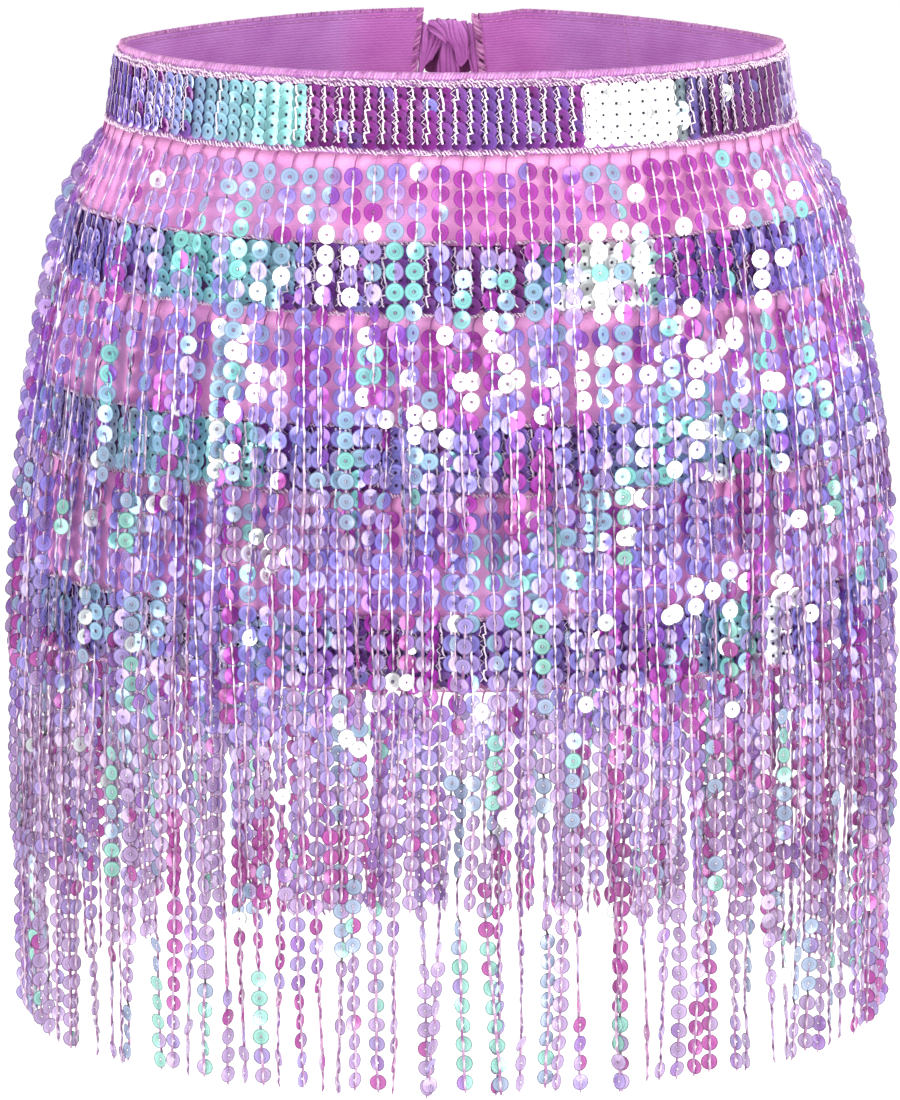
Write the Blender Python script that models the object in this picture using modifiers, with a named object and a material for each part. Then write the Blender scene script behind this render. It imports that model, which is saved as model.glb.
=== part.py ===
"""Belly dance hip scarf: an open-backed, tiered skirt of sequin fringe, filled out as worn.

A stretch waistband and skirt panel wrap a general figure and stay open down the centre back, where
two straps knot them together. Four sequin bands go round the cloth, and a fringe of sequin strands
hangs from the lower edge of each. Metres, +Z up, the front towards -Y. The origin is the middle of
the waistband's ring, level with its top edge, where the wearer's waist holds it.
"""

import bisect
import math

import bmesh
import bpy

MM = 0.001

# The figure's level sections are ellipses, this much shallower than wide.
DEPTH_TO_WIDTH = 0.735
OUTLINE_STEPS = 720

# At the waist the back is flatter towards the sides and meets the front in a tighter curve. This is
# the share of it that does so at the top edge, and the height, in mm, where the section is an
# ellipse again.
WAIST_FLATNESS = 0.8
WAIST_FLATNESS_BOTTOM = -70.0

# The outer face of the cloth, and below its hem the line that the lowest fringe hangs on.
# Columns: height, half width, both in mm.
FIGURE = (
    (0.0, 115.3),
    (-27.0, 119.8),
    (-42.0, 124.6),
    (-57.0, 130.2),
    (-78.0, 135.4),
    (-110.0, 141.4),
    (-140.0, 146.2),
    (-172.0, 149.8),
    (-207.0, 152.2),
    (-240.0, 153.6),
    (-290.0, 154.0),
    (-350.0, 153.3),
)

# The slit down the centre back, between the cut edges of the cloth.
# Columns: height, half width, both in mm.
SLIT = (
    (0.0, 10.8),
    (-27.0, 13.6),
    (-110.0, 15.0),
    (-207.0, 16.4),
    (-350.0, 16.6),
)

# The cloth is cut into columns round the ring and into rows at these heights, in mm. The heights
# of the sequin bands are among them, so that a band lies level on the cloth.
COLUMNS = 64
WAISTBAND_ROWS = (0.0, -4.8, -24.5, -27.2)
PANEL_ROWS = (-27.5, -42.0, -56.7, -78.0, -97.0, -117.3, -138.1, -160.0, -182.3, -206.8)

# The tiers from the waist down, in mm. Columns: name, top and bottom of the sequin band, end of
# its strands, number of strands, how far off the cloth they hang, and the heights where they bend.
TIERS = (
    ("1", -4.8, -24.5, -164.5, 52, 6.2, (-40.0, -62.0, -108.0)),
    ("2", -56.7, -78.0, -217.0, 56, 4.4, (-98.0, -150.0)),
    ("3", -117.3, -138.1, -277.0, 60, 2.5, (-158.0, -212.0)),
    ("4", -182.3, -203.7, -348.0, 62, 0.6, (-262.0,)),
)

WAISTBAND_WALL = 1.6 * MM
PANEL_WALL = 1.2 * MM
SEQUIN_WALL = 1.2 * MM
SEAM_GAP = 0.3 * MM
SHARP_ANGLE = math.radians(40)

# A fringe is a narrow heading with flat strands hanging from it. A strand swings out from the
# cloth over its first stretch, and leans a little to one side further down.
HEADING_GAP = 0.4
HEADING_HEIGHT = 2.2
STRAND_WIDTH = 8.5 * MM
STRAND_WALL = 1.2 * MM
STRAND_SWING = 30.0
STRAND_LEAN = 1.5 * MM
# Columns: share of the lean, how far its angle turns from one strand to the next, in radians.
LEAN_WAVES = (
    (0.6, 2.4),
    (0.4, 5.1),
)
STRAND_UNEVENNESS = 1.2
UNEVENNESS_TURN = 3.7
END_MARGIN = 4.8 * MM

# Soft folds of the panel, which deepen from the hips to the hem.
FOLD_TOP = -40.0
FOLD_BOTTOM = -207.0
FOLD_DEPTH = 1.1 * MM
# Columns: folds round the ring, share of the depth, phase in radians.
FOLDS = (
    (9, 0.62, 0.4),
    (14, 0.38, 2.1),
)

# The knot pulls the right end of the waistband down by this much, in mm.
PULL = 2.2
PULL_REACH = 18.0 * MM
PULL_BOTTOM = -60.0

# The overlocked edges. The right one is a thick twist of thread and seam allowance.
# Columns: name, end of the cloth's run round the ring, radius.
EDGES = (
    ("left", 1, 0.7 * MM),
    ("right", 0, 2.0 * MM),
)
EDGE_ROWS = (-0.4, -14.0, -27.3, -42.0, -57.0, -78.0, -110.0, -140.0, -172.0, -206.4)
EDGE_SIDES = 8

# The knot of the tie, a pleated ball of cloth. Its middle is across, height and out of the cloth.
KNOT_MIDDLE = (-1.5 * MM, -7.3, -0.8 * MM)
KNOT_RADII = (6.4 * MM, 3.8 * MM, 3.9 * MM)
KNOT_SEGMENTS = 20
KNOT_RINGS = 9
KNOT_PLEATS = 5
KNOT_PLEAT_DEPTH = 0.06

# The straps and tails of the tie are pleated strips of cloth that run down from the knot, close to
# it and to the edges that they are sewn to.
TIE_WALL = 1.0 * MM
PLEAT_POINTS = 4
# Columns: left side across and height, right side across and height, how far out of the cloth the
# strip is, depth of its pleats, all in mm.
TIE_PIECES = {
    "tie_strap_left": (
        (-9.6, -8.6, -3.5, -11.7, -1.2, 0.2),
        (-10.0, -12.5, -4.7, -14.4, -1.2, 0.3),
        (-10.6, -18.2, -5.9, -18.6, -1.0, 0.3),
        (-10.9, -21.3, -9.4, -21.5, -0.8, 0.0),
    ),
    "tie_strap_right": (
        (5.6, -8.6, 7.1, -7.9, -1.2, 0.0),
        (6.2, -13.0, 7.6, -12.8, -1.2, 0.1),
        (6.1, -18.0, 8.1, -18.0, -1.0, 0.2),
        (6.7, -24.5, 8.8, -25.0, -0.8, 0.2),
    ),
    "tie_tail_long": (
        (-2.9, -11.9, 0.4, -11.4, -1.0, 0.0),
        (-4.2, -14.6, 0.6, -14.4, -1.3, 0.1),
        (-5.3, -18.6, 1.2, -18.6, -1.2, 0.25),
        (-5.8, -23.5, 2.9, -23.5, -0.8, 0.35),
        (-6.4, -40.0, 3.6, -40.0, 0.0, 0.6),
        (-7.2, -65.0, 4.6, -65.0, 0.6, 0.6),
        (-8.0, -90.0, 5.6, -90.0, 0.6, 0.5),
        (-8.8, -112.0, 6.4, -108.0, 0.4, 0.4),
    ),
    "tie_tail_short": (
        (1.2, -11.7, 5.1, -9.4, -1.4, 0.2),
        (1.3, -15.0, 5.7, -13.5, -1.6, 0.3),
        (1.9, -18.2, 5.3, -17.2, -1.5, 0.2),
        (3.2, -20.6, 4.4, -20.4, -1.3, 0.0),
    ),
}
# How many pleats each strip has.
TIE_PLEATS = {"tie_strap_left": 2, "tie_strap_right": 1, "tie_tail_long": 3, "tie_tail_short": 1}

# Colour (red, green, blue), roughness and metallic value of each finish.
FINISHES = {
    "waist_elastic": ((0.55, 0.17, 0.50), 0.75, 0.0),
    "stretch_cloth": ((0.84, 0.36, 0.66), 0.80, 0.0),
    "band_sequins": ((0.42, 0.16, 0.62), 0.25, 0.1),
    "fringe_sequins": ((0.50, 0.34, 0.78), 0.25, 0.1),
    "edge_thread": ((0.80, 0.42, 0.68), 0.70, 0.0),
    "tie_cloth": ((0.62, 0.20, 0.56), 0.75, 0.0),
}


def clear_scene():
    for item in list(bpy.data.objects):
        bpy.data.objects.remove(item)


def ease(t):
    """A smooth step from 0 to 1."""
    t = min(max(t, 0.0), 1.0)
    return t * t * (3 - 2 * t)


def read_table(rows, height):
    """The value at a height, on a smooth curve through the rows of a table, top row first."""
    height = min(max(height, rows[-1][0]), rows[0][0])
    row = next(i for i in range(len(rows) - 1) if rows[i + 1][0] <= height)
    slopes = []
    for i in (row, row + 1):
        before, after = rows[max(i - 1, 0)], rows[min(i + 1, len(rows) - 1)]
        slopes.append((after[1] - before[1]) / (after[0] - before[0]))
    span = rows[row + 1][0] - rows[row][0]
    t = (height - rows[row][0]) / span
    return (
        rows[row][1] * (1 - ease(t))
        + rows[row + 1][1] * ease(t)
        + slopes[0] * span * t * (1 - t) ** 2
        - slopes[1] * span * t * t * (1 - t)
    )


def outline_lengths():
    """The length along an ellipse of half width 1, from the centre back, at even steps of angle."""
    lengths = [0.0]
    for step in range(OUTLINE_STEPS):
        start, end = (2 * math.pi * (step + i) / OUTLINE_STEPS for i in (0, 1))
        across = math.sin(end) - math.sin(start)
        deep = DEPTH_TO_WIDTH * (math.cos(end) - math.cos(start))
        lengths.append(lengths[-1] + math.hypot(across, deep))
    return lengths


OUTLINE = outline_lengths()


def angle_at(length):
    """The angle of the ellipse of half width 1 at a length along it from the centre back."""
    length = length % OUTLINE[-1]
    step = bisect.bisect_right(OUTLINE, length) - 1
    part = (length - OUTLINE[step]) / (OUTLINE[step + 1] - OUTLINE[step])
    return 2 * math.pi * (step + part) / OUTLINE_STEPS


def ring_point(along, height, out):
    """A point round the figure: metres along from the centre back, height in mm, metres outwards."""
    half_width = read_table(FIGURE, height) * MM
    angle = angle_at(along / half_width)
    across, deep = math.sin(angle), math.cos(angle)
    flat = WAIST_FLATNESS * (1 - ease(height / WAIST_FLATNESS_BOTTOM)) if deep > 0 else 0.0
    slope = DEPTH_TO_WIDTH * (1 - flat + 2 * flat * deep)
    facing = math.hypot(across * slope, deep)
    return (
        across * (half_width + out * slope / facing),
        deep * (half_width * DEPTH_TO_WIDTH * (1 - flat + flat * deep) + out / facing),
        height * MM,
    )


def cloth_width(height):
    """The cloth's width at a height, from one edge of the slit round to the other, in metres."""
    return (OUTLINE[-1] * read_table(FIGURE, height) - 2 * read_table(SLIT, height)) * MM


def fold(share, height):
    """How far the panel's soft folds stand out at this place, in metres."""
    wave = sum(part * math.sin(2 * math.pi * count * share + phase) for count, part, phase in FOLDS)
    return FOLD_DEPTH * wave * ease((FOLD_TOP - height) / (FOLD_TOP - FOLD_BOTTOM))


def cloth_point(share, height, out):
    """A point of the worn cloth: the share runs from 0 at the slit's right edge round to 1."""
    width = cloth_width(height)
    point = ring_point(read_table(SLIT, height) * MM + share * width, height, out + fold(share, height))
    pulled = PULL * (1 - ease(share * width / PULL_REACH)) * (1 - ease(height / PULL_BOTTOM))
    return (point[0], point[1], point[2] - pulled * MM)


def material(name):
    """The material of a finish, made once and shared."""
    made = bpy.data.materials.get(name)
    if made is None:
        colour, roughness, metallic = FINISHES[name]
        made = bpy.data.materials.new(name)
        made.use_nodes = True
        shader = made.node_tree.nodes["Principled BSDF"]
        shader.inputs["Base Color"].default_value = (*colour, 1.0)
        shader.inputs["Roughness"].default_value = roughness
        shader.inputs["Metallic"].default_value = metallic
    return made


def add_mesh(name, mesh, finish):
    mesh.materials.append(material(finish))
    mesh.shade_smooth()
    mesh.set_sharp_from_angle(angle=SHARP_ANGLE)
    made = bpy.data.objects.new(name, mesh)
    garment.objects.link(made)
    return made


def add_wall(name, points, faces, wall, side, finish):
    """A cloth wall grown from an open surface: inwards where the side is -1, outwards where 1."""
    mesh = bpy.data.meshes.new(name)
    mesh.from_pydata(points, [], faces)
    thick = add_mesh(name, mesh, finish).modifiers.new("wall", "SOLIDIFY")
    thick.thickness = wall
    thick.offset = side
    thick.use_even_offset = True


def grid_faces(rows, columns):
    """The faces of a grid of points whose rows run down and whose columns run round."""
    corners = [row * columns + column for row in range(rows - 1) for column in range(columns - 1)]
    return [(a, a + 1, a + 1 + columns, a + columns) for a in corners]


def add_ring(name, heights, out, wall, side, finish):
    """A piece of cloth that goes round the figure from one edge of the slit to the other."""
    points = [cloth_point(k / COLUMNS, height, out) for height in heights for k in range(COLUMNS + 1)]
    add_wall(name, points, grid_faces(len(heights), COLUMNS + 1), wall, side, finish)


def strand_out(height, root, hang):
    """How far off the cloth a strand is: it swings from its heading out to where it hangs."""
    return SEAM_GAP + (hang * MM - SEAM_GAP) * ease((root - height) / STRAND_SWING)


def strand_lean(number, down):
    """How far a strand leans to one side, down being 0 at its root and 1 at its end."""
    return STRAND_LEAN * down**2 * sum(part * math.sin(turn * number) for part, turn in LEAN_WAVES)


def add_fringe(name, heading_top, end, count, hang, bends):
    """A comb of flat strands, whose roots are one piece with a narrow heading."""
    root = heading_top - HEADING_HEIGHT
    points, faces = [], []
    for number in range(count):
        share = END_MARGIN / cloth_width(root)
        share += (1 - 2 * share) * number / (count - 1)
        lowest = end + STRAND_UNEVENNESS * math.sin(UNEVENNESS_TURN * number)
        heights = (heading_top, root, *bends, lowest)
        first = len(points)
        for height in heights:
            lean = strand_lean(number, max(root - height, 0.0) / (root - lowest))
            for side in (-1, 1):
                moved = (lean + side * STRAND_WIDTH / 2) / cloth_width(height)
                points.append(cloth_point(share + moved, height, strand_out(height, root, hang)))
        faces += [tuple(first + corner for corner in face) for face in grid_faces(len(heights), 2)]
        if number < count - 1:
            following = len(points)
            faces.append((first + 1, following, following + 2, first + 3))
    add_wall(name, points, faces, STRAND_WALL, 1, "fringe_sequins")


def add_tiers():
    for name, top, bottom, end, count, hang, bends in TIERS:
        add_ring(f"sequin_band_{name}", (top, bottom), SEAM_GAP, SEQUIN_WALL, 1, "band_sequins")
        add_fringe(f"fringe_{name}", bottom - HEADING_GAP, end, count, hang, bends)


def add_edge(name, share, radius):
    """An overlocked edge: a round run of thread beside the cut edge of the cloth."""
    curve = bpy.data.curves.new(f"back_edge_{name}", "CURVE")
    curve.dimensions = "3D"
    curve.bevel_depth = radius
    curve.bevel_resolution = (EDGE_SIDES - 4) // 2
    curve.use_fill_caps = True
    curve.materials.append(material("edge_thread"))
    line = curve.splines.new("POLY")
    line.points.add(len(EDGE_ROWS) - 1)
    beside = (2 * share - 1) * (SEAM_GAP + radius)
    for point, height in zip(line.points, EDGE_ROWS):
        moved = share + beside / cloth_width(height)
        point.co = (*cloth_point(moved, height, -PANEL_WALL / 2), 1.0)
    garment.objects.link(bpy.data.objects.new(curve.name, curve))


def add_knot():
    """The knot, a pleated ball of cloth, wider than high."""
    across, height, out = KNOT_MIDDLE
    middle = ring_point(across, height, out)
    ball = bmesh.new()
    bmesh.ops.create_uvsphere(ball, u_segments=KNOT_SEGMENTS, v_segments=KNOT_RINGS, radius=1.0)
    for corner in ball.verts:
        around = math.atan2(corner.co.y, corner.co.x)
        pleat = 1 + KNOT_PLEAT_DEPTH * math.cos(KNOT_PLEATS * around) * (1 - corner.co.z**2)
        for axis, radius in enumerate(KNOT_RADII):
            corner.co[axis] = middle[axis] + corner.co[axis] * radius * pleat
    mesh = bpy.data.meshes.new("tie_knot")
    ball.to_mesh(mesh)
    ball.free()
    add_mesh("tie_knot", mesh, "tie_cloth")


def add_tie_piece(name, rows, pleats):
    """A strap or a tail: a pleated strip of cloth that runs down from the knot."""
    steps = pleats * PLEAT_POINTS
    points = []
    for left, left_height, right, right_height, out, deep in rows:
        for k in range(steps + 1):
            along = left + (right - left) * k / steps
            height = left_height + (right_height - left_height) * k / steps
            raised = out - deep * math.cos(2 * math.pi * k / PLEAT_POINTS)
            points.append(ring_point(along * MM, height, raised * MM))
    faces = [face[::-1] for face in grid_faces(len(rows), steps + 1)]
    add_wall(name, points, faces, TIE_WALL, 0, "tie_cloth")


def add_tie():
    add_knot()
    for name, rows in TIE_PIECES.items():
        add_tie_piece(name, rows, TIE_PLEATS[name])


clear_scene()
garment = bpy.data.collections.new("hip_scarf")
bpy.context.scene.collection.children.link(garment)
add_ring("waistband", WAISTBAND_ROWS, 0.0, WAISTBAND_WALL, -1, "waist_elastic")
add_ring("skirt_panel", PANEL_ROWS, 0.0, PANEL_WALL, -1, "stretch_cloth")
add_tiers()
for edge_name, edge_share, edge_radius in EDGES:
    add_edge(edge_name, edge_share, edge_radius)
add_tie()
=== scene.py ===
"""The looks of the belly dance hip scarf: its cloth, sequins, thread and tie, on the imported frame.

Metres, +Z up, the front towards -Y, and the origin in the middle of the waistband's ring, level with
its top edge. Tables give heights and widths in mm, as the part's source does.
"""

import math

import bpy
import numpy as np
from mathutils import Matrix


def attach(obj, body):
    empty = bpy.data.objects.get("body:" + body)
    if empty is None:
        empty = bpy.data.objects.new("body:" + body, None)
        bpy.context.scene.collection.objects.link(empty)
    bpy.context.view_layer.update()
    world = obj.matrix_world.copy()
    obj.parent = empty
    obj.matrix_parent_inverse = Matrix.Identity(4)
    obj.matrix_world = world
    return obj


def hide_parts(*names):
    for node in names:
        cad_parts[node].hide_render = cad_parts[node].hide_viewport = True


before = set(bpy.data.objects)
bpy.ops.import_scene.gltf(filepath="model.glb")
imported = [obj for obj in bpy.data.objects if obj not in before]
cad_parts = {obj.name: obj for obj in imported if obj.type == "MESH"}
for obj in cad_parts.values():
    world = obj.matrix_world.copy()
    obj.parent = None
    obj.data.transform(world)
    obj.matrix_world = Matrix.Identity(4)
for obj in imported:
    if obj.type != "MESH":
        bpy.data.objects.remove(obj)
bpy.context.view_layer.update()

MM = 0.001
BODY = "root"
UP = np.array((0.0, 0.0, 1.0))

# ---------------------------------------- sizes, as in the part's source

DEPTH_TO_WIDTH = 0.735

# At the waist the back is flatter towards the sides and meets the front in a tighter curve.
WAIST_FLATNESS, WAIST_FLATNESS_BOTTOM = 0.8, -70

# The outer face of the cloth. Columns: height, half width.
FIGURE = (
    (0, 115.3),
    (-27, 119.8),
    (-42, 124.6),
    (-57, 130.2),
    (-78, 135.4),
    (-110, 141.4),
    (-140, 146.2),
    (-172, 149.8),
    (-207, 152.2),
    (-240, 153.6),
    (-290, 154.0),
    (-350, 153.3),
)

# The slit down the centre back. Columns: height, half width.
SLIT = (
    (0, 10.8),
    (-27, 13.6),
    (-110, 15.0),
    (-207, 16.4),
    (-350, 16.6),
)

# Soft folds of the panel. Columns: folds round the ring, share of the depth, phase.
FOLDS = (
    (9, 0.62, 0.4),
    (14, 0.38, 2.1),
)
FOLD_TOP, FOLD_BOTTOM, FOLD_DEPTH = -40, -207, 1.1 * MM

# How the knot pulls the right end of the waistband down.
PULL, PULL_REACH, PULL_BOTTOM = 2.2 * MM, 18 * MM, -60

# The tiers. Columns: name, top and bottom of the sequin band, columns of sequins in it, strands in
# the fringe, how far off the cloth they hang, and the height below which they hang free.
TIERS = (
    ("1", -4.8, -24.5, 126, 88, 4.4, -120),
    ("2", -56.7, -78.0, 146, 101, 3.3, -165),
    ("3", -117.3, -138.1, 163, 113, 2.0, -210),
    ("4", -182.3, -203.7, 168, 116, 0.2, -212),
)

SEQUIN_RADIUS = 3.25 * MM
# How much smaller the sequins show where they hang free.
FREE_SHRINK = 0.09
SEQUIN_PITCH = 6.9 * MM
SEQUINS_PER_STRAND = 20
ROOT_GAP = 4.6 * MM
CHAIN_DROP = 1.9
STRAND_SWING = 30
END_MARGIN = 3.4 * MM

# ---------------------------------------- colours


def linear(red, green, blue):
    """A colour given as it shows on a screen, as the light values that a shader takes."""
    shown = np.array((red, green, blue)) / 255
    return np.where(shown <= 0.04045, shown / 12.92, ((shown + 0.055) / 1.055) ** 2.4)


def rgba(colour):
    return (*(float(c) for c in colour), 1.0)


def blend(dark, light, share):
    return dark + (light - dark) * np.asarray(share)[..., None]


# The film on the sequins, from its deepest colour to its brightest. Columns: the colour on the
# cloth, the colour where light comes through it from behind, and its gleam, from 0, clear, to 1.
FILM = {
    "magenta": (linear(178, 56, 180), linear(174, 74, 156), 0.15),
    "violet": (linear(152, 90, 206), linear(156, 116, 188), 0.15),
    "periwinkle": (linear(154, 146, 234), linear(164, 144, 202), 0.10),
    "lavender": (linear(190, 168, 236), linear(178, 152, 196), 0.0),
    "frost": (linear(166, 208, 234), linear(158, 176, 202), 0.25),
    "mint": (linear(156, 242, 234), linear(146, 204, 190), 0.4),
    # White is a glint: a painted highlight, on sequins that are also turned to reflect the key light.
    "white": (linear(252, 255, 253), linear(226, 236, 230), 1.0),
}
FILM_NAMES = tuple(FILM)
WHITE = len(FILM) - 1
FILM_ON_CLOTH = np.array([(*on_cloth, gleam) for on_cloth, _, gleam in FILM.values()])
FILM_HANGING = np.array([(*hanging, gleam - 0.4) for _, hanging, gleam in FILM.values()])

# The share of each film colour by height. Columns: height, then the colours in the film's order
# as far as mint. Only glints turn white.
STRAND_MIX = (
    (-34, 0.32, 0.08, 0.13, 0.24, 0.18, 0.05),
    (-55, 0.44, 0.10, 0.13, 0.18, 0.09, 0.06),
    (-80, 0.26, 0.16, 0.23, 0.19, 0.10, 0.06),
    (-110, 0.15, 0.18, 0.31, 0.19, 0.11, 0.06),
    (-140, 0.10, 0.19, 0.37, 0.20, 0.09, 0.05),
    (-190, 0.14, 0.20, 0.36, 0.21, 0.06, 0.03),
    (-230, 0.18, 0.18, 0.26, 0.30, 0.05, 0.03),
    (-270, 0.18, 0.12, 0.16, 0.42, 0.08, 0.04),
    (-350, 0.18, 0.06, 0.10, 0.50, 0.10, 0.06),
)

# Places where one colour of the film shows. Columns: across, height, half width, half height, all
# in mm, the colour, and how often. They repeat on the back.
TINTS = (
    (-104, -46, 30, 22, "lavender", 0.75),
    (-128, -90, 14, 60, "violet", 0.50),
    (-44, -37, 34, 6, "frost", 0.60),
    (-71, -52, 3.4, 19, "mint", 0.90),
    (-88, -60, 4.5, 7, "mint", 0.80),
    (-10, -49, 46, 9, "magenta", 0.60),
    (80, -43, 42, 17, "magenta", 0.75),
    (118, -54, 4, 10, "frost", 0.70),
    (-116, -107, 3.4, 13, "mint", 0.95),
    (-108, -112, 3.4, 12, "frost", 0.80),
    (-86, -100, 4, 10, "frost", 0.60),
    (22, -93, 14, 22, "magenta", 0.45),
    (-22, -92, 16, 18, "violet", 0.50),
    (88, -92, 40, 14, "violet", 0.25),
    (0, -104, 48, 14, "frost", 0.20),
    (-76, -100, 30, 22, "frost", 0.25),
    (136, -66, 16, 44, "magenta", 0.50),
    (106, -94, 3.4, 15, "mint", 0.80),
    (-28, -96, 3.4, 9, "mint", 0.80),
    (-104, -168, 20, 30, "periwinkle", 0.60),
    (-112, -158, 3.4, 9, "mint", 0.80),
    (-52, -150, 16, 20, "lavender", 0.50),
    (24, -136, 9, 16, "magenta", 0.60),
    (-26, -182, 14, 18, "magenta", 0.45),
    (36, -148, 11, 16, "frost", 0.50),
    (34, -160, 4, 9, "mint", 0.80),
    (78, -162, 20, 30, "periwinkle", 0.55),
    (100, -196, 10, 12, "mint", 0.40),
    (132, -150, 4, 9, "mint", 0.80),
    (0, -170, 40, 16, "periwinkle", 0.50),
    (-60, -296, 18, 44, "magenta", 0.45),
    (-67, -318, 3.4, 18, "mint", 0.90),
    (-32, -300, 6, 24, "frost", 0.50),
    (6, -326, 3.6, 20, "mint", 0.95),
    (22, -270, 10, 20, "magenta", 0.50),
    (60, -292, 11, 26, "magenta", 0.60),
    (58, -326, 3.4, 10, "mint", 0.80),
    (97, -242, 12, 20, "magenta", 0.45),
    (132, -268, 12, 34, "magenta", 0.30),
    (-116, -290, 14, 34, "magenta", 0.30),
    (-136, -150, 12, 60, "periwinkle", 0.50),
    (-100, -130, 34, 18, "frost", 0.58),
    (-118, -190, 30, 16, "frost", 0.50),
    (-70, -128, 26, 12, "frost", 0.30),
    (96, -122, 26, 14, "frost", 0.30),
)

# Places where sequins glint: painted white, and turned to the key light. Columns as above, without the
# colour.
GLINTS = (
    (57, -60, 15, 13, 0.55),
    (-38, -64, 13, 16, 0.50),
    (-78, -116, 9, 20, 0.55),
    (86, -96, 20, 22, 0.38),
    (46, -100, 12, 16, 0.32),
    (8, -98, 18, 14, 0.46),
    (-62, -158, 7, 20, 0.40),
    (-112, -92, 9, 8, 0.36),
    (-72, -92, 9, 8, 0.32),
    (92, -180, 18, 14, 0.30),
    (-128, -192, 6, 12, 0.36),
    (-26, -114, 14, 8, 0.34),
    (112, -60, 8, 12, 0.40),
    (64, -142, 6, 20, 0.34),
    (4, -126, 10, 6, 0.34),
    (40, -212, 10, 6, 0.22),
    (16, -252, 5, 5, 0.40),
)
# How often others are painted white as glints, and the height below which fewer are, with the share that
# still are.
STRAY_GLINTS, GLINTS_END, LOW_GLINTS = 0.012, -225, 0.3
# How they are turned: near halfway between the key light and the eye in the middle of the front,
# how much less 100 mm to the right, and how far they stray from that.
GLINT_AZIMUTH, GLINT_RISE, GLINT_TURN = math.radians(23), math.radians(5), math.radians(2.2)
GLINT_STRAY, GLINT_STRAY_RISE = math.radians(2.5), math.radians(2)

# Runs of colour round each sequin band, from the left of the front to its right: where a run ends,
# in mm across, and the film's colours at its two ends. Its white runs are painted glints, on sequins also
# turned to the key light, and the frost and mint runs on the left of the front are partly a painted
# reflection.
BAND_RUNS = {
    "1": (
        (-100, "violet", "periwinkle"),
        (-82, "periwinkle", "frost"),
        (-47.5, "frost", "mint"),
        (-10, "magenta", "magenta"),
        (12, "magenta", "violet"),
        (44.4, "violet", "magenta"),
        (75.8, "white", "white"),
        (80, "frost", "white"),
        (86, "periwinkle", "violet"),
        (112, "magenta", "magenta"),
        (130, "violet", "magenta"),
    ),
    "2": (
        (-104, "periwinkle", "lavender"),
        (-84, "frost", "mint"),
        (-52, "mint", "frost"),
        (26, "violet", "magenta"),
        (36, "periwinkle", "mint"),
        (60, "white", "white"),
        (72, "white", "mint"),
        (98, "violet", "periwinkle"),
        (150, "violet", "periwinkle"),
    ),
    "3": (
        (-110, "periwinkle", "frost"),
        (-96, "mint", "frost"),
        (-62, "frost", "mint"),
        (-20, "violet", "magenta"),
        (40, "periwinkle", "violet"),
        (84, "violet", "frost"),
        (112, "white", "mint"),
        (150, "periwinkle", "lavender"),
    ),
    "4": (
        (-100, "periwinkle", "lavender"),
        (-52, "lavender", "frost"),
        (72, "violet", "violet"),
        (94, "periwinkle", "frost"),
        (116, "mint", "white"),
        (160, "violet", "periwinkle"),
    ),
}

# Tones of thread, dark and light: along the strands and the bands, in the chains, and at the edges.
STRAND_TONES = linear(140, 78, 136), linear(255, 236, 252)
CHAIN_TONES = linear(112, 46, 106), linear(252, 222, 246)
EDGE_TONES = linear(136, 46, 124), linear(238, 172, 222)

# How the waistband's colour turns pinker near the slit.
PINKER = np.array((1.10, 0.80, 0.94))


def shaded(tones, light, least=0):
    """The colours of thread as light as given, from 0 to 1."""
    return blend(*tones, np.clip(light, least, 1))


# ---------------------------------------- the figure


def ease(t):
    t = np.clip(t, 0.0, 1.0)
    return t * t * (3 - 2 * t)


def smooth_curve(x, y, steps):
    """A smooth curve through rows of values, in even steps that np.interp can read."""
    x, y = np.asarray(x, dtype=float), np.asarray(y, dtype=float).reshape(len(x), -1)
    number = np.arange(len(x))
    before, after = np.maximum(number - 1, 0), np.minimum(number + 1, len(x) - 1)
    slopes = (y[after] - y[before]) / (x[after] - x[before])[:, None]
    fine = np.linspace(x[0], x[-1], steps)
    row = np.clip(np.searchsorted(x, fine, side="right") - 1, 0, len(x) - 2)
    span = (x[row + 1] - x[row])[:, None]
    t = (fine[:, None] - x[row][:, None]) / span
    value = y[row] * (1 - ease(t)) + y[row + 1] * ease(t)
    value += slopes[row] * span * t * (1 - t) ** 2 - slopes[row + 1] * span * t * t * (1 - t)
    return fine, value


def height_curve(rows):
    table = np.array(rows)[::-1]
    fine, value = smooth_curve(table[:, 0], table[:, 1], 1400)
    return fine, value[:, 0]


HALF_WIDTHS = height_curve(FIGURE)
SLITS = height_curve(SLIT)
# The length round a ring whose half width is 1, from the centre back to each angle.
ANGLES = np.linspace(0, 2 * math.pi, 2881)
ARCS = np.hypot(np.diff(np.sin(ANGLES)), DEPTH_TO_WIDTH * np.diff(np.cos(ANGLES)))
LENGTHS = np.concatenate(([0.0], np.cumsum(ARCS)))


def half_width(height):
    return np.interp(height, *HALF_WIDTHS) * MM


def slit(height):
    return np.interp(height, *SLITS) * MM


def cloth_width(height):
    """The cloth's width at a height, from one edge of the slit round to the other, in metres."""
    return LENGTHS[-1] * half_width(height) - 2 * slit(height)


def ring_frame(along, height, out):
    """Points round the figure and the outward direction at each: metres along from the centre back,
    height in mm, metres outwards."""
    along, height, out = np.broadcast_arrays(along, height, out)
    wide = half_width(height)
    angle = np.interp((along / wide) % LENGTHS[-1], LENGTHS, ANGLES)
    across, deep = np.sin(angle), np.cos(angle)
    flat = np.where(deep > 0, WAIST_FLATNESS * (1 - ease(height / WAIST_FLATNESS_BOTTOM)), 0.0)
    slope = DEPTH_TO_WIDTH * (1 - flat + 2 * flat * deep)
    facing = np.hypot(across * slope, deep)
    outward = np.stack((across * slope / facing, deep / facing, np.zeros_like(deep)), -1)
    depth = DEPTH_TO_WIDTH * deep * (1 - flat + flat * deep)
    level = np.stack((across * wide, depth * wide, height * MM), -1)
    return level + outward * out[..., None], outward


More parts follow.
